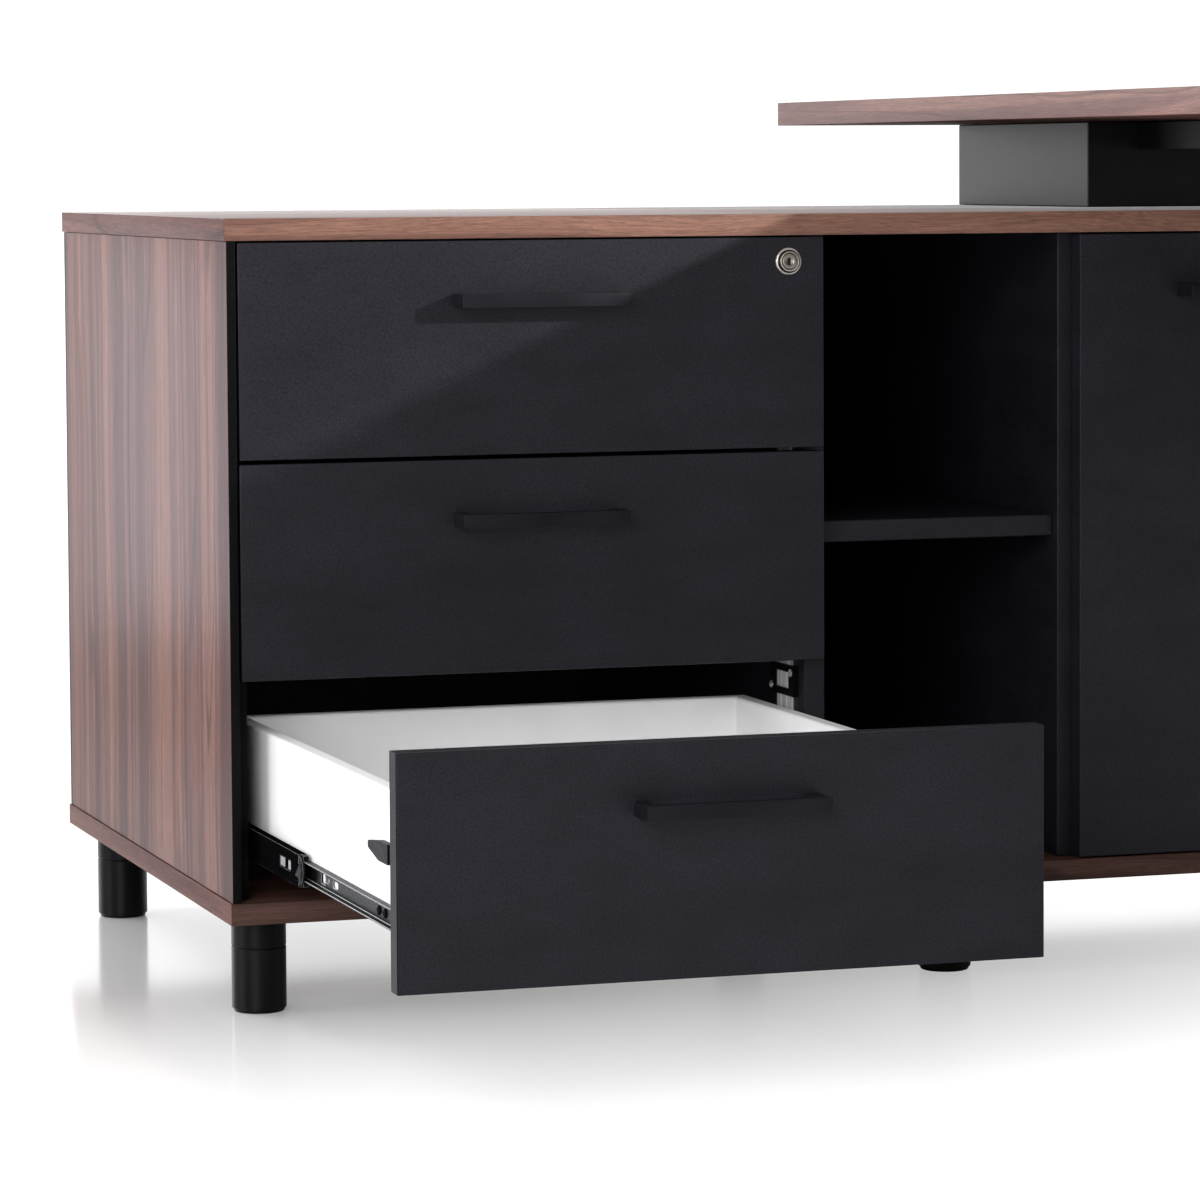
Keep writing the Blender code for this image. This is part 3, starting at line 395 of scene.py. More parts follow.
nickel = drawn_metal("satin_nickel_plate", "#b9b3ab", "#d2cdc6", 0.3, 1)
# A dark zinc for the lock's groove: painted shade in the recess.
lock_groove_painted_shade = drawn_metal("zinc_groove_painted_shade", "#1f1c1a", "#2c2926", 0.5, 1)
core_zinc = drawn_metal("satin_zinc_core", "#8d8680", "#a59e97", 0.34, 2, 0.5)
bar_aluminium = drawn_metal("satin_anodised_aluminium", "#c6c8ca", "#e6e7e8", 0.45, 2, 0.9, 0.25)
latch_steel = drawn_metal("dull_zinc_plate", "#77777a", "#8f8f92", 0.5, 1, 0.8, 0.3)
plated_steel = drawn_metal("bright_zinc_plate", "#a9a9a6", "#c9c9c6", 0.28, 1)
print("finishes:", len(bpy.data.materials))

# %% [markdown]
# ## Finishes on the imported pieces
#
# Most packed boards already have the right shape, so they only take a finish, the one that belongs to the
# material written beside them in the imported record. The slides are steel like the handles but have a thinner
# coat, and the riser and the loop leg have a coat of their own.

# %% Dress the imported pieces
SLOT_FINISH = {
    "black_board": black_board,
    "white_board": white_foil,
    "black_steel": powder_coat,
    "black_plastic": black_plastic,
    "nickel": nickel,
    "aluminium": bar_aluminium,
    "walnut": walnut_x,
}
OWN_FINISH = {"riser": black_satin, "underframe": leg_coat}
for row in frame["record"]["subparts"]:
    node = nodes[row["node"]]
    finish = SLOT_FINISH[row["material_slot"]]
    if "_slide_" in row["node"]:
        finish = slide_coat if "_inner_" in row["node"] else slide_web
    node.data.materials.clear()
    node.data.materials.append(OWN_FINISH.get(row["node"], finish))

# %% [markdown]
# A few pieces carry fused details of another material: a catch on a drawer box, a cup on a door, a shelf pin
# or a hinge arm on a board. Those faces are found by where they lie, a hair beyond the board's own face, and
# take a second finish. The drawer fronts' left edges and the right end panel's inner side are black.

# %% Details of another material
HAIR = 0.1
BOX_LEFT = 32.2
DOOR_BACK = 18
EDGE_BAND = 0.5
LEFT_DIVIDER, RIGHT_DIVIDER = (500, 518), (730, 748)
PANEL_FITTINGS, PANEL_OUTSIDE = 1380.4, 1398
DRAWERS = ("bottom", "middle", "top")


def refinish(name, finish, chosen):
    """Faces whose middles (joiner's millimetres, X, Y, Z) answer to chosen take another finish."""
    mesh = nodes[name].data
    middles = np.empty(len(mesh.polygons) * 3)
    mesh.polygons.foreach_get("center", middles)
    picked = chosen(*((middles.reshape(-1, 3) - CORNER) / MM).T)
    index = np.zeros(len(mesh.polygons), np.int32)
    mesh.polygons.foreach_get("material_index", index)
    mesh.materials.append(finish)
    index[picked] = len(mesh.materials) - 1
    mesh.polygons.foreach_set("material_index", index)
    return int(picked.sum())


for drawer in DRAWERS:
    catch = refinish(f"{drawer}_drawer_box", black_plastic, lambda x, y, z: x < BOX_LEFT - HAIR)
    low, high = corners(f"{drawer}_drawer_front")
    band = refinish(f"{drawer}_drawer_front", black_band, lambda x, y, z: x < low[0] + EDGE_BAND)
    print(drawer, "drawer: faces of catch and edge band", catch, band)
for door in ("left", "right"):
    cups = refinish(f"{door}_door_panel", nickel, lambda x, y, z: y > DOOR_BACK + HAIR)
    print(door, "door: faces of hinge cups", cups)
refinish("left_divider", plated_steel, lambda x, y, z: x > LEFT_DIVIDER[1] + HAIR)
refinish("left_divider", black_plastic, lambda x, y, z: x < LEFT_DIVIDER[0] - HAIR)
refinish(
    "right_divider",
    plated_steel,
    lambda x, y, z: (x < RIGHT_DIVIDER[0] - HAIR) | (x > RIGHT_DIVIDER[1] + HAIR),
)
refinish("right_end_panel", walnut_z, lambda x, y, z: x > PANEL_OUTSIDE)
refinish("right_end_panel", black_band, lambda x, y, z: (x > PANEL_FITTINGS) & (x < PANEL_OUTSIDE))
refinish("right_end_panel", plated_steel, lambda x, y, z: x < PANEL_FITTINGS)

# %% [markdown]
# The middle member of a slide carries the plastic end of its ball cage in front, and its bearing balls above
# and below. A narrow bevel along the edges of the rolled steel takes a light grey finish, a painted highlight
# that stands for the edges' reflections; the corners are joined first, because a bevel needs edges that are
# shared.

# %% Balls, cages and painted edge highlights of the slides
CAGE_LENGTH, BALL_BAND = 20, 2.8
JOIN_WITHIN, HIGHLIGHT_WIDTH, HIGHLIGHT_ANGLE = 0.001 * MM, 0.4 * MM, np.radians(50)
for drawer in DRAWERS:
    for side in ("left", "right"):
        middle_name = f"{drawer}_slide_middle_{side}"
        low, high = corners(middle_name)
        cage = refinish(middle_name, black_plastic, lambda x, y, z: y < low[1] + CAGE_LENGTH)
        below, over = low[2] + BALL_BAND, high[2] - BALL_BAND
        balls = refinish(middle_name, plated_steel, lambda x, y, z: (z < below) | (z > over))
        print(drawer, side, "slide: faces of cage and balls", cage, balls)
        for member in ("middle", "inner"):
            slide = nodes[f"{drawer}_slide_{member}_{side}"]
            # The bevel below takes the light grey finish, a painted highlight along the edges.
            slide.data.materials.append(slide_edge_painted_highlight)
            joined = slide.modifiers.new("joined corners", "WELD")
            joined.merge_threshold = JOIN_WITHIN
            highlight_bevel = slide.modifiers.new("worn edges", "BEVEL")
            highlight_bevel.width = HIGHLIGHT_WIDTH
            highlight_bevel.segments = 1
            highlight_bevel.limit_method = "ANGLE"
            highlight_bevel.angle_limit = HIGHLIGHT_ANGLE
            highlight_bevel.material = len(slide.data.materials) - 1

# %% [markdown]
# ## A profile carried along a line
#
# A board with eased edges, an end panel with its rebate and a bar handle are all one idea: a flat outline
# carried along a straight line, drawn in at both ends over a quarter circle so that the end edges are eased
# too. The corners of the outline are eased by arcs. Both are worked out as arrays, so the same few lines
# make every such piece.

# %% Outlines
ARC_STEPS = 4


def eased(points, radius):
    """Each corner of a closed outline replaced by an arc that touches both its sides."""
    points = np.asarray(points, float)
    before, after = np.roll(points, 1, axis=0) - points, np.roll(points, -1, axis=0) - points
    before /= np.linalg.norm(before, axis=1, keepdims=True)
    after /= np.linalg.norm(after, axis=1, keepdims=True)
    half = np.arccos(np.clip((before * after).sum(1), -1, 1)) / 2
    reach = radius / np.tan(half)
    bisector = before + after
    bisector /= np.linalg.norm(bisector, axis=1, keepdims=True)
    centre = points + bisector * (radius / np.sin(half))[:, None]
    start = points + before * reach[:, None] - centre
    end = points + after * reach[:, None] - centre
    share = np.linspace(0, 1, ARC_STEPS + 1)[None, :, None]
    angle = np.pi - 2 * half[:, None, None]
    from_start = np.sin((1 - share) * angle) * start[:, None]
    to_end = np.sin(share * angle) * end[:, None]
    arc = (from_start + to_end) / np.sin(angle)
    return (centre[:, None] + arc).reshape(-1, 2)


def drawn_in(outline, amount):
    """An outline moved inwards by an amount, each point along the mean of its sides' normals."""
    side = np.roll(outline, -1, axis=0) - np.roll(outline, 1, axis=0)
    side /= np.linalg.norm(side, axis=1, keepdims=True)
    return outline + amount * np.stack([-side[:, 1], side[:, 0]], axis=1)


print("an eased square has", len(eased([(0, 0), (9, 0), (9, 9), (0, 9)], 1)), "points")

# %% [markdown]
# A surface is a stack of rings with as many points in each, joined by quads. The sweep makes the rings from
# an outline, and one more function turns points and faces into an object that rides on its body.


# %% Sweeps and meshes
def grid_faces(rings, count, closed_path=False):
    """Quads between neighbouring rings of count points each."""
    ring = np.arange(rings if closed_path else rings - 1)[:, None]
    point = np.arange(count)[None, :]
    following, beside = (ring + 1) % rings, (point + 1) % count
    quads = np.stack(
        [ring * count + point, ring * count + beside, following * count + beside, following * count + point],
        axis=-1,
    )
    return quads.reshape(-1, 4).tolist()


def sweep(outline, axis, low, high, soft):
    """An outline (anticlockwise) carried along an axis, drawn in over a quarter circle at both ends."""
    bend = np.linspace(0, np.pi / 2, ARC_STEPS + 1)
    inset = soft * (1 - np.sin(bend))
    travel = soft * (1 - np.cos(bend))
    along = np.concatenate([low + travel, (high - travel)[::-1]])
    insets = np.concatenate([inset, inset[::-1]])
    rings = np.stack([drawn_in(outline, amount) for amount in insets])
    flat = np.broadcast_to(along[:, None, None], (*rings.shape[:2], 1))
    points = np.concatenate([rings, flat], axis=2).reshape(-1, 3)
    order = {0: (2, 0, 1), 1: (1, 2, 0), 2: (0, 1, 2)}[axis]
    count = len(outline)
    last = (len(along) - 1) * count
    faces = grid_faces(len(along), count)
    faces += [list(range(count))[::-1], list(range(last, last + count))]
    return points[:, order], faces


def piece(name, points, faces, finishes, body, index=None, sharp=35):
    """A mesh object at the origin that rides on a body, with smooth shading kept off sharp edges."""
    mesh = bpy.data.meshes.new(name)
    mesh.from_pydata(place(points).tolist(), [], faces)
    for finish in finishes:
        mesh.materials.append(finish)
    if index is not None:
        mesh.polygons.foreach_set("material_index", np.asarray(index, np.int32))
    mesh.shade_smooth()
    mesh.set_sharp_from_angle(angle=np.radians(sharp))
    mesh.validate()
    made = bpy.data.objects.new(name, mesh)
    bpy.context.scene.collection.objects.link(made)
    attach(made, body)
    return made


print("a sweep has", 2 * (ARC_STEPS + 1), "rings")

# %% [markdown]
# ## Walnut boards with edge bands
#
# A melamine board is sawn from a sheet, so its cut edges are covered with a band, and the band's grain runs
# along its own length. On the top, the base and the desk top, the front band's grain runs along X and the end
# band's along Y. Each board is one sweep, and its faces take the finish that follows their direction.

# %% Top, base and desk top
CORNER_SOFT, BOARD_SOFT = 0.9, 0.8


def facing(points, faces):
    """Which axis each face looks along: 0, 1 or 2, from the face's normal."""
    first = np.array([face[:3] for face in faces])
    a, b, c = (np.asarray(points)[first[:, k]] for k in range(3))
    return np.abs(np.cross(b - a, c - a)).argmax(axis=1)


def banded_board(node, flat, bands):
    """A horizontal board: flat for its faces, bands for the edges that look along X and along Y."""
    low, high = corners(node)
    square = [(low[0], low[1]), (high[0], low[1]), (high[0], high[1]), (low[0], high[1])]
    points, faces = sweep(eased(square, CORNER_SOFT), 2, low[2], high[2], BOARD_SOFT)
    index = np.choose(facing(points, faces), [1, 2, 0])
    made = piece(node + "_banded", points, faces, [flat, *bands], "carcass", index)
    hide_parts(node)
    print(node, "measures", (high - low).round(1).tolist(), "mm")
    return made


banded_board("cabinet_top", walnut_x, (walnut_y, walnut_band))
banded_board("cabinet_base", walnut_base_painted_shade, (walnut_y, walnut_low_band_painted_shade))
desk_board = banded_board("desk_top", walnut_desk, (walnut_desk_band_painted_highlight, walnut_band))

# %% [markdown]
# The left end panel is walnut on its outer face only, with the grain upright. Its front is rebated, so that a
# thin lip frames the drawer fronts, and lip, rebate and a strip at the back are banded in black.

# %% Left end panel
LIP, REBATE, BACK_STRIP = 7.5, 20, 7
PANEL_CORNER_SOFT, PANEL_END_SOFT, ON_FACE = 0.6, 0.3, 0.05
low, high = corners("left_end_panel")
outline = eased(
    [
        (low[0], low[1]),
        (low[0] + LIP, low[1]),
        (low[0] + LIP, low[1] + REBATE),
        (high[0], low[1] + REBATE),
        (high[0], high[1]),
        (low[0], high[1]),
    ],
    PANEL_CORNER_SOFT,
)
outline = np.vstack([outline, (low[0], high[1] - BACK_STRIP)])
points, faces = sweep(outline, 2, low[2], high[2], PANEL_END_SOFT)
middles = np.array([points[face].mean(axis=0) for face in faces])
outside = (middles[:, 0] < low[0] + ON_FACE) & (middles[:, 1] < high[1] - BACK_STRIP)
index = np.where(outside, 0, 1)
made = piece("left_end_panel_banded", points, faces, [walnut_z, black_band], "carcass", index)
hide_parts("left_end_panel")
print("left end panel:", int(outside.sum()), "walnut faces of", len(faces))

# %% [markdown]
# ## Handles
#
# The handles are square bars with a post at each end: an outline like a flat U, carried up 11 mm.

# %% Bar handles
HANDLE_BAR, HANDLE_CORNER_SOFT, HANDLE_END_SOFT = 10, 0.4, 0.3
for owner in ("bottom_drawer", "middle_drawer", "top_drawer", "left_door", "right_door"):
    low, high = corners(f"{owner}_handle")
    left_end, right_end = low[0], high[0]
    near, far = low[1], high[1]
    outline = eased(
        [
            (left_end, near),
            (right_end, near),
            (right_end, far),
            (right_end - HANDLE_BAR, far),
            (right_end - HANDLE_BAR, near + HANDLE_BAR),
            (left_end + HANDLE_BAR, near + HANDLE_BAR),
            (left_end + HANDLE_BAR, far),
            (left_end, far),
        ],
        HANDLE_CORNER_SOFT,
    )
    points, faces = sweep(outline, 2, low[2], high[2], HANDLE_END_SOFT)
    made = piece(f"{owner}_bar_handle", points, faces, [powder_coat], owner)
    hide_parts(f"{owner}_handle")
    print(owner, "handle is", round(right_end - left_end, 1), "mm long")

# %% [markdown]
# ## Legs
#
# A leg is turned: its profile, half of its section, goes once round the axis. From the floor up it has a
# glide, a foot, a thin seam where the foot screws in, and a collar. The profile is written as how far each
# point lies in from the leg's full radius, and how high.

# %% Round legs
LEG_STEPS, LEG_SHARP = 64, 28
AXIS_GAP, OFF_FLOOR = 0.1, 0.02
FOOT = ((3.2, OFF_FLOOR), (2.2, 0.4), (1.6, 1.4), (1.5, 3.0), (0.5, 3.0), (0.1, 3.4), (0.0, 4.2))
SEAM_HEIGHT = 54
SEAM = ((0.0, -1.0), (0.3, -0.5), (1.0, -0.3), (1.0, 0.3), (0.3, 0.5), (0.0, 1.0))
RIM_SOFT = 0.4


def turned(profile, steps, ring_shaped=False):
    """A profile of (radius, height) points carried round the Z axis, capped unless it closes on itself."""
    profile = np.asarray(profile, float)
    angle = np.linspace(0, 2 * np.pi, steps, endpoint=False)
    ring = np.stack([np.cos(angle), np.sin(angle)], axis=1)
    points = np.concatenate(
        [profile[:, None, :1] * ring[None], np.broadcast_to(profile[:, None, 1:], (len(profile), steps, 1))],
        axis=2,
    ).reshape(-1, 3)
    last = (len(profile) - 1) * steps
    faces = grid_faces(len(profile), steps, ring_shaped)
    if not ring_shaped:
        faces += [list(range(steps))[::-1], list(range(last, last + steps))]
    return points, faces


for row in ("front", "rear"):
    for column in ("left", "middle", "right"):
        node = f"{row}_{column}_leg"
        low, high = corners(node)
        radius, top = (high[0] - low[0]) / 2, high[2]
        profile = [
            (AXIS_GAP, OFF_FLOOR),
            *((radius - inset, height) for inset, height in FOOT),
            *((radius - inset, SEAM_HEIGHT + height) for inset, height in SEAM),
            (radius, top - RIM_SOFT),
            (radius - RIM_SOFT, top),
            (AXIS_GAP, top),
        ]
        points, faces = turned(profile, LEG_STEPS)
        points += ((low[0] + high[0]) / 2, (low[1] + high[1]) / 2, 0)
        made = piece(f"{node}_turned", points, faces, [leg_coat], "carcass", sharp=LEG_SHARP)
        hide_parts(node)
print("legs of", round(2 * radius, 1), "mm turned in", LEG_STEPS, "steps")

# %% [markdown]
# ## Lock
#
# The lock's cylinder is turned as well: a nose round the core, a groove whose dark finish is painted shade,
# and a flange with a rolled edge against the drawer front. Its profile closes on itself, because the core
# fills the bore. It is made about the Z axis and then laid over, so that it points out of the front.

# %% Lock with a rolled flange
LOCK = np.array([479.0, 0.0, 610.5])
LOCK_STEPS, LOCK_SHARP = 96, 40
BORE, FLANGE_BACK = 6.8, 0.3
GROOVE = (8.2, 9.6)


def outwards(points, spot, way):
    """Points made about Z, laid so that Z points along way (x, -x or -y), at a spot."""
    x, y, z = np.asarray(points, float).T
    laid = {"x": (z, y, -x), "-x": (-z, y, x), "-y": (x, -z, y)}[way]
    return np.stack(laid, axis=1) + spot


low, high = corners("lock_cylinder")
nose, tail = -low[1], -high[1]
face = nose - 2.5
ring = [
    (BORE, tail),
    (BORE, nose - 0.9),
    (BORE + 0.5, nose - 0.25),
    (7.6, nose),
    (8.1, nose - 0.15),
    (8.3, nose - 0.6),
    (8.3, face - 1.6),
    (9.4, face - 1.6),
    (9.5, face - 0.5),
    (9.7, face - 0.1),
    (10.1, face),
    (10.6, face - 0.15),
    (11.1, face - 0.6),
    (11.4, face - 1.2),
    (11.5, face - 1.8),
    (11.5, FLANGE_BACK),
    (9.2, FLANGE_BACK),
    (9.2, tail),
]
points, faces = turned(ring[::-1], LOCK_STEPS, ring_shaped=True)
spots = points[np.array(faces)]
rim = np.hypot(spots[:, :, 0], spots[:, :, 1]).mean(axis=1)
height = spots[:, :, 2].mean(axis=1)
# Faces deep in the groove take the dark finish, a painted shade.
in_groove = (rim > GROOVE[0]) & (rim < GROOVE[1]) & (height < face - 0.4) & (height > 0.5)
made = piece(
    "lock_flange",
    outwards(points, LOCK, "-y"),
    faces,
    [nickel, lock_groove_painted_shade],
    "top_drawer",
    np.where(in_groove, 1, 0),
    LOCK_SHARP,
)
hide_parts("lock_cylinder")
print("lock nose", round(nose, 2), "mm proud,", int(in_groove.sum()), "faces in its groove")

# %% [markdown]
# The core is a stack of rings too: round outside, dished in front, and sinking into a keyhole that is taller
# than it is wide. Behind the drawer front it carries the cam, a small plate that works the bar.

# %% Lock core with a keyhole
CORE_RADIUS, DISH_RADIUS, KEYHOLE_DEPTH = 6.5, 3.5, 9
CAM_THICK, CAM_LOW, CAM_HIGH, CAM_START = 2.5, 607, 614, 3
CAM_CORNER_SOFT, CAM_END_SOFT = 1.2, 0.3
angle = np.linspace(0, 2 * np.pi, LOCK_STEPS, endpoint=False)
around = np.stack([np.cos(angle), np.sin(angle)], axis=1)


def keyhole(half_wide, half_tall):
    """A rounded slot: the curve where (x / wide) to the fourth plus (z / tall) to the fourth is one."""
    x, z = np.abs(around).T
    reach = ((x / half_wide) ** 4 + (z / half_tall) ** 4) ** -0.25
    return around * reach[:, None]


def together(*parts):
    """Several sets of points and faces as one."""
    points, faces, before = [], [], 0
    for some_points, some_faces in parts:
        points.append(np.asarray(some_points, float))
        faces += [[corner + before for corner in face] for face in some_faces]
        before += len(some_points)
    return np.concatenate(points), faces


low, high = corners("lock_core")
core_face, cam_front = -low[1], high[1] - CAM_THICK
rings = [
    (around * CORE_RADIUS, -cam_front),
    (around * CORE_RADIUS, core_face - 0.8),
    (around * (CORE_RADIUS - 0.5), core_face - 0.1),
    (around * (CORE_RADIUS - 0.7), core_face),
    (around * DISH_RADIUS, core_face),
    (around * (DISH_RADIUS - 0.2), core_face - 0.1),
    (keyhole(2.2, 3.2), core_face - 1.0),
    (keyhole(1.2, 3.1), core_face - 1.9),
    (keyhole(1.2, 3.1), core_face - KEYHOLE_DEPTH),
]
points = np.concatenate([np.column_stack([flat, np.full(LOCK_STEPS, height)]) for flat, height in rings])
faces = grid_faces(len(rings), LOCK_STEPS)
last = (len(rings) - 1) * LOCK_STEPS
faces += [list(range(LOCK_STEPS))[::-1], list(range(last, last + LOCK_STEPS))]
core = (outwards(points, LOCK, "-y"), faces)
near, far = low[0] + CAM_START, high[0]
cam_square = [(near, CAM_LOW), (far, CAM_LOW), (far, CAM_HIGH), (near, CAM_HIGH)]
cam_outline = eased(cam_square, CAM_CORNER_SOFT)[::-1, ::-1]
cam = sweep(cam_outline, 1, cam_front, high[1], CAM_END_SOFT)
points, faces = together(core, cam)
made = piece("lock_core_keyed", points, faces, [core_zinc], "lock_core", sharp=LOCK_SHARP)
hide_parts("lock_core")
print("lock core", round(2 * CORE_RADIUS, 1), "mm across, cam", round(far - near, 1), "mm long")

# %% [markdown]
# ## Screws on the slides and the bar's guides
#
# Each rail is held by pan-head screws, and each guide of the lock bar by two bright ones at opposite corners.
# A pan head is a low dome with a cross recess; here it is pressed into the dome as four short grooves.

# %% Screw heads
SCREW_STEPS, DOME_RINGS = 48, 11
DOME_FOOT, DOME_POLE = 0.25, 0.004
CROSS_HALF, CROSS_REACH, CROSS_FROM, CROSS_DEPTH = 0.17, 0.58, 0.3, 0.35


def pan_head(radius, height):
    """A dome of quarter-ellipse section; the cross sinks in where either side axis is near."""
    bend = np.linspace(0, 1, DOME_RINGS)[:-1] * np.pi / 2
    reach = radius * np.concatenate([[1.0], np.cos(bend), [DOME_POLE]])
    rise = height * np.concatenate([[0.0], DOME_FOOT + (1 - DOME_FOOT) * np.sin(bend), [1.0]])
    points, faces = turned(np.column_stack([reach, rise]), SCREW_STEPS)
    x, y = np.abs(points[:, 0]), np.abs(points[:, 1])
    arm = np.minimum(x, y) < CROSS_HALF * radius
    inner = np.maximum(x, y) < CROSS_REACH * radius
    points[arm & inner & (points[:, 2] > CROSS_FROM * height), 2] -= CROSS_DEPTH * height
    return points, faces


print("a screw head has", len(pan_head(1, 1)[1]), "faces")

# %% [markdown]
# The rail screws sit on the web of each rail at four places behind its front end. The guides' screws sit on
# the face that looks towards the drawers.

# %% Screws in their places
STEEL = 1.2
RAIL_SCREWS, RAIL_HEAD = (69, 86, 330, 420), (3.6, 2.0)
GUIDE_FEET, GUIDE_FACE = (99.5, 277.67), 495.5
GUIDE_SCREWS, GUIDE_HEAD = ((41.5, 163), (88, 149)), (3.4, 1.9)
for drawer in DRAWERS:
    for side, way in (("left", "-x"), ("right", "x")):
        low, high = corners(f"{drawer}_slide_inner_{side}")
        web = high[0] - STEEL if side == "left" else low[0] + STEEL
        middle = (low[2] + high[2]) / 2
        heads = []
        for behind in RAIL_SCREWS:
            points, faces = pan_head(*RAIL_HEAD)
            heads.append((outwards(points, (web, low[1] + behind, middle), way), faces))
        points, faces = together(*heads)
        piece(f"{drawer}_rail_screws_{side}", points, faces, [slide_coat], f"{drawer}_drawer")
heads = []
for foot in GUIDE_FEET:
    for behind, rise in GUIDE_SCREWS:
        points, faces = pan_head(*GUIDE_HEAD)
        heads.append((outwards(points, (GUIDE_FACE, behind, foot + rise), "-x"), faces))
points, faces = together(*heads)
piece("guide_screws", points, faces, [plated_steel], "carcass")
print("screws:", 2 * len(DRAWERS) * len(RAIL_SCREWS), "on rails,", len(heads), "on guides")

# %% [markdown]
# ## Latches in the slides
#
# Through a window in the web of each middle channel a latch shows as two bright tabs, and the plastic end of
# the ball cage carries two curved ribs. The tabs lie within the thickness of the web, so nothing touches
# them. Both are flat outlines carried a short way across the channel.

# %% Latch tabs and ribs
WINDOW_TABS, TAB_HALF, TAB_CORNER_SOFT, TAB_END_SOFT = ((41.5, 49.5), (60.5, 74.5)), 3.6, 0.8, 0.2
TAB_DEPTHS, RIB_DEPTHS = (1.2, 1.9), (0.1, 0.9)
CAGE_BULGE, CAGE_HALF = 12, 10
RIB_SHARES, RIB_POINTS, RIB_END_SOFT = ((0.92, 0.8), (0.62, 0.5)), 25, 0.1
RIB_BEND = np.linspace(0.15 * np.pi, 0.85 * np.pi, RIB_POINTS)
for drawer in DRAWERS:
    body = f"{drawer}_slide_middle"
    for side in ("left", "right"):
        low, high = corners(f"{body}_{side}")
        start, middle = low[1] + CAGE_BULGE, (low[2] + high[2]) / 2

        def across(near, far):
            """Distances in from the channel's outer face, as a span of X on its own side."""
            return (low[0] + near, low[0] + far) if side == "left" else (high[0] - far, high[0] - near)

        tabs = []
        for first, last in WINDOW_TABS:
            near, far = low[1] + first, low[1] + last
            bottom, top = middle - TAB_HALF, middle + TAB_HALF
            outline = eased([(near, bottom), (far, bottom), (far, top), (near, top)], TAB_CORNER_SOFT)
            tabs.append(sweep(outline, 0, *across(*TAB_DEPTHS), TAB_END_SOFT))
        points, faces = together(*tabs)
        piece(f"{drawer}_latch_tabs_{side}", points, faces, [latch_steel], body)
        ribs = []
        for outer, inner in RIB_SHARES:
            arc = np.column_stack([-CAGE_BULGE * np.sin(RIB_BEND), CAGE_HALF * np.cos(RIB_BEND)])
            outline = np.vstack([arc * outer, (arc * inner)[::-1]]) + (start, middle)
            ribs.append(sweep(outline, 0, *across(*RIB_DEPTHS), RIB_END_SOFT))
        points, faces = together(*ribs)
        piece(f"{drawer}_cage_ribs_{side}", points, faces, [black_plastic], body)
print("latch tabs and ribs on", 2 * len(DRAWERS), "slides")

# %% [markdown]
# ## Floor
#
# The desk stands on a polished white sheet in a bright studio, which mirrors the legs softly. The sheet in
# front of the desk and to its right is lit up to white, and falls to grey under the return. A glow that
# fades with the distance from the front and grows to the right gives that; only the camera sees it, so it
# does not light the desk from below.

# %% Floor
FLOOR_HALF, FLOOR_FRONT = 30, -6
GLOW_AHEAD = {"From Min": -0.25, "From Max": 0.42, "To Min": 1.0, "To Max": 0.04}
GLOW_RIGHT = {"From Min": -0.72, "From Max": 0.2, "To Min": 0.0, "To Max": 0.75}
sides = (-FLOOR_HALF, FLOOR_HALF)
floor_mesh = bpy.data.meshes.new("floor")
floor_mesh.from_pydata(
    [
        (sides[0], FLOOR_FRONT, 0),
        (sides[1], FLOOR_FRONT, 0),
        (sides[1], FLOOR_HALF, 0),
        (sides[0], FLOOR_HALF, 0),
    ],
    [],
    [(0, 1, 2, 3)],
)
floor = bpy.data.objects.new("floor", floor_mesh)
bpy.context.scene.collection.objects.link(floor)
floor_look, floor_tree, floor_shader, floor_spot = finish_named("white_acrylic_sweep", 0.6)
floor_shader.inputs["Base Color"].default_value = linear("#e2e2e2")
floor_shader.inputs["Emission Color"].default_value = (1, 1, 1, 1)
floor_shader.inputs["Coat Weight"].default_value = 1.0
floor_shader.inputs["Coat IOR"].default_value = 2.0
floor_shader.inputs["Coat Roughness"].default_value = 0.13
floor_rays = add(floor_tree, "ShaderNodeLightPath", {})
x, y, _ = add(floor_tree, "ShaderNodeSeparateXYZ", {0: floor_spot}).outputs
lit_ahead = add(floor_tree, "ShaderNodeMapRange", {"Value": y, **GLOW_AHEAD}).outputs[0]
lit_right = add(floor_tree, "ShaderNodeMapRange", {"Value": x, **GLOW_RIGHT}).outputs[0]
lit = add(floor_tree, "ShaderNodeMath", {0: lit_ahead, 1: lit_right}, operation="ADD").outputs[0]
seen_glow = {0: floor_rays.outputs["Is Camera Ray"], 1: lit}
glow = add(floor_tree, "ShaderNodeMath", seen_glow, operation="MULTIPLY").outputs[0]
floor_tree.links.new(glow, floor_shader.inputs["Emission Strength"])
floor_mesh.materials.append(floor_look)
print("floor", 2 * FLOOR_HALF, "m wide")

# %% [markdown]
# ## Light
#
# The studio's walls are white all round, brighter behind the desk than in front of it, and pure white where
# the camera sees them.

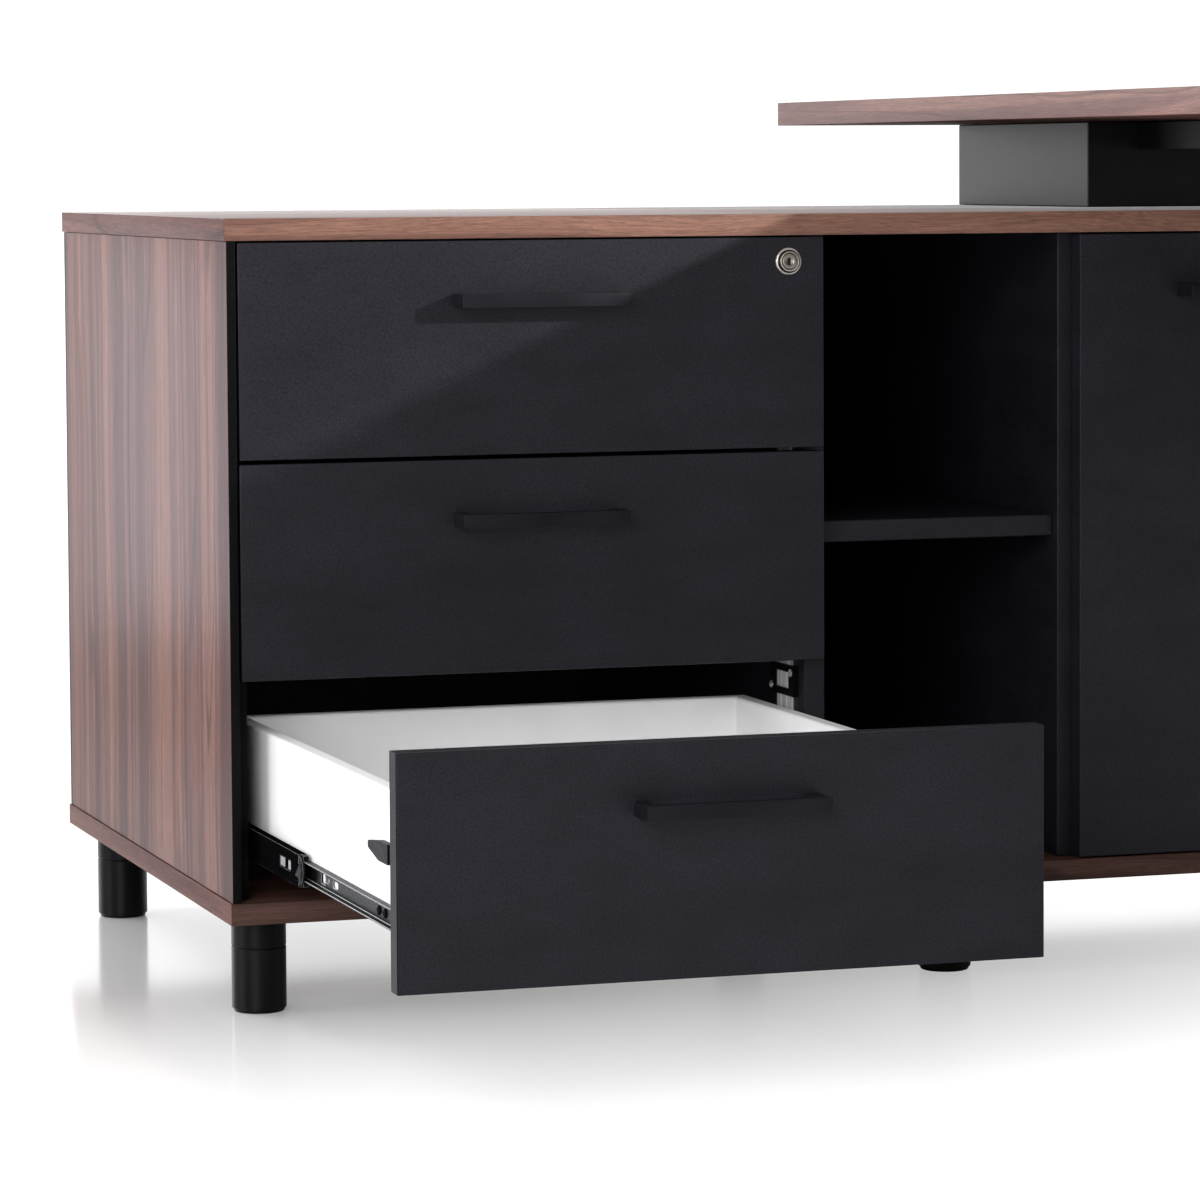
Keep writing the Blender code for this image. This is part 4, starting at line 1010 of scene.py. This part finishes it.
# %% World
SEEN_WALLS = 1.2
WALLS = {"From Min": -0.6, "From Max": 0.5, "To Min": 0.5, "To Max": 1.3}
world = bpy.data.worlds.new("studio")
world.use_nodes = True
bpy.context.scene.world = world
sky = world.node_tree
background = sky.nodes["Background"]
way = add(sky, "ShaderNodeTexCoord", {})
split = add(sky, "ShaderNodeSeparateXYZ", {0: way.outputs["Generated"]})
depth = add(sky, "ShaderNodeMapRange", {"Value": split.outputs[1], **WALLS})
rays = add(sky, "ShaderNodeLightPath", {})
strengths = {0: rays.outputs["Is Camera Ray"], 2: depth.outputs[0], 3: SEEN_WALLS}
seen = add(sky, "ShaderNodeMix", strengths, data_type="FLOAT")
sky.links.new(seen.outputs[0], background.inputs["Strength"])
background.inputs["Color"].default_value = (1, 1, 1, 1)
bpy.context.scene.view_settings.view_transform = "Standard"
print("walls at", SEEN_WALLS, "where the camera sees them")

# %% [markdown]
# Five lamps model the desk. The key is small and stands to the right in front, above the desk top, so the
# desk top throws a crisp slanting shadow on the drawers. The side lamp is a large soft box in front on the
# left, for the pulled drawer; the fill lights the left end from the side, the rim lights the return's top
# from behind, and a weak bluish veil grazes the end panel from behind. The desk top lies so near the key that
# it would burn out, so it is left out of the key's light.


# %% Lamps
def lamp(name, spot, aim, size, power):
    """A square soft box, in metres and watts, at a spot and aimed at another (joiner's millimetres)."""
    data = bpy.data.lights.new(name, "AREA")
    data.size = size
    data.energy = power
    made = bpy.data.objects.new(name, data)
    bpy.context.scene.collection.objects.link(made)
    start, end = Vector(place(spot)), Vector(place(aim))
    made.location = start
    made.rotation_mode = "QUATERNION"
    made.rotation_quaternion = (end - start).to_track_quat("-Z", "Y")
    print(name, "lamp", round((end - start).length, 2), "m from what it lights")
    return made


key = lamp("key", (1700, -1450, 1197), (300, 0, 550), 0.03, 38)
lamp("side", (-1100, -2000, 1000), (250, -466, 250), 1.3, 33)
lamp("rim", (-700, 1100, 1250), (200, 350, 650), 0.6, 9)
lamp("fill", (-2600, 100, 900), (0, 325, 350), 1.2, 21)
veil = lamp("veil", (-700, 1800, 420), (0, 325, 480), 0.6, 4.8)
veil.data.color = (0.85, 0.88, 1.0)
near_key = bpy.data.collections.new("too_near_the_key")
near_key.objects.link(desk_board)
key.light_linking.receiver_collection = near_key
near_key.collection_objects[0].light_linking.link_state = "EXCLUDE"
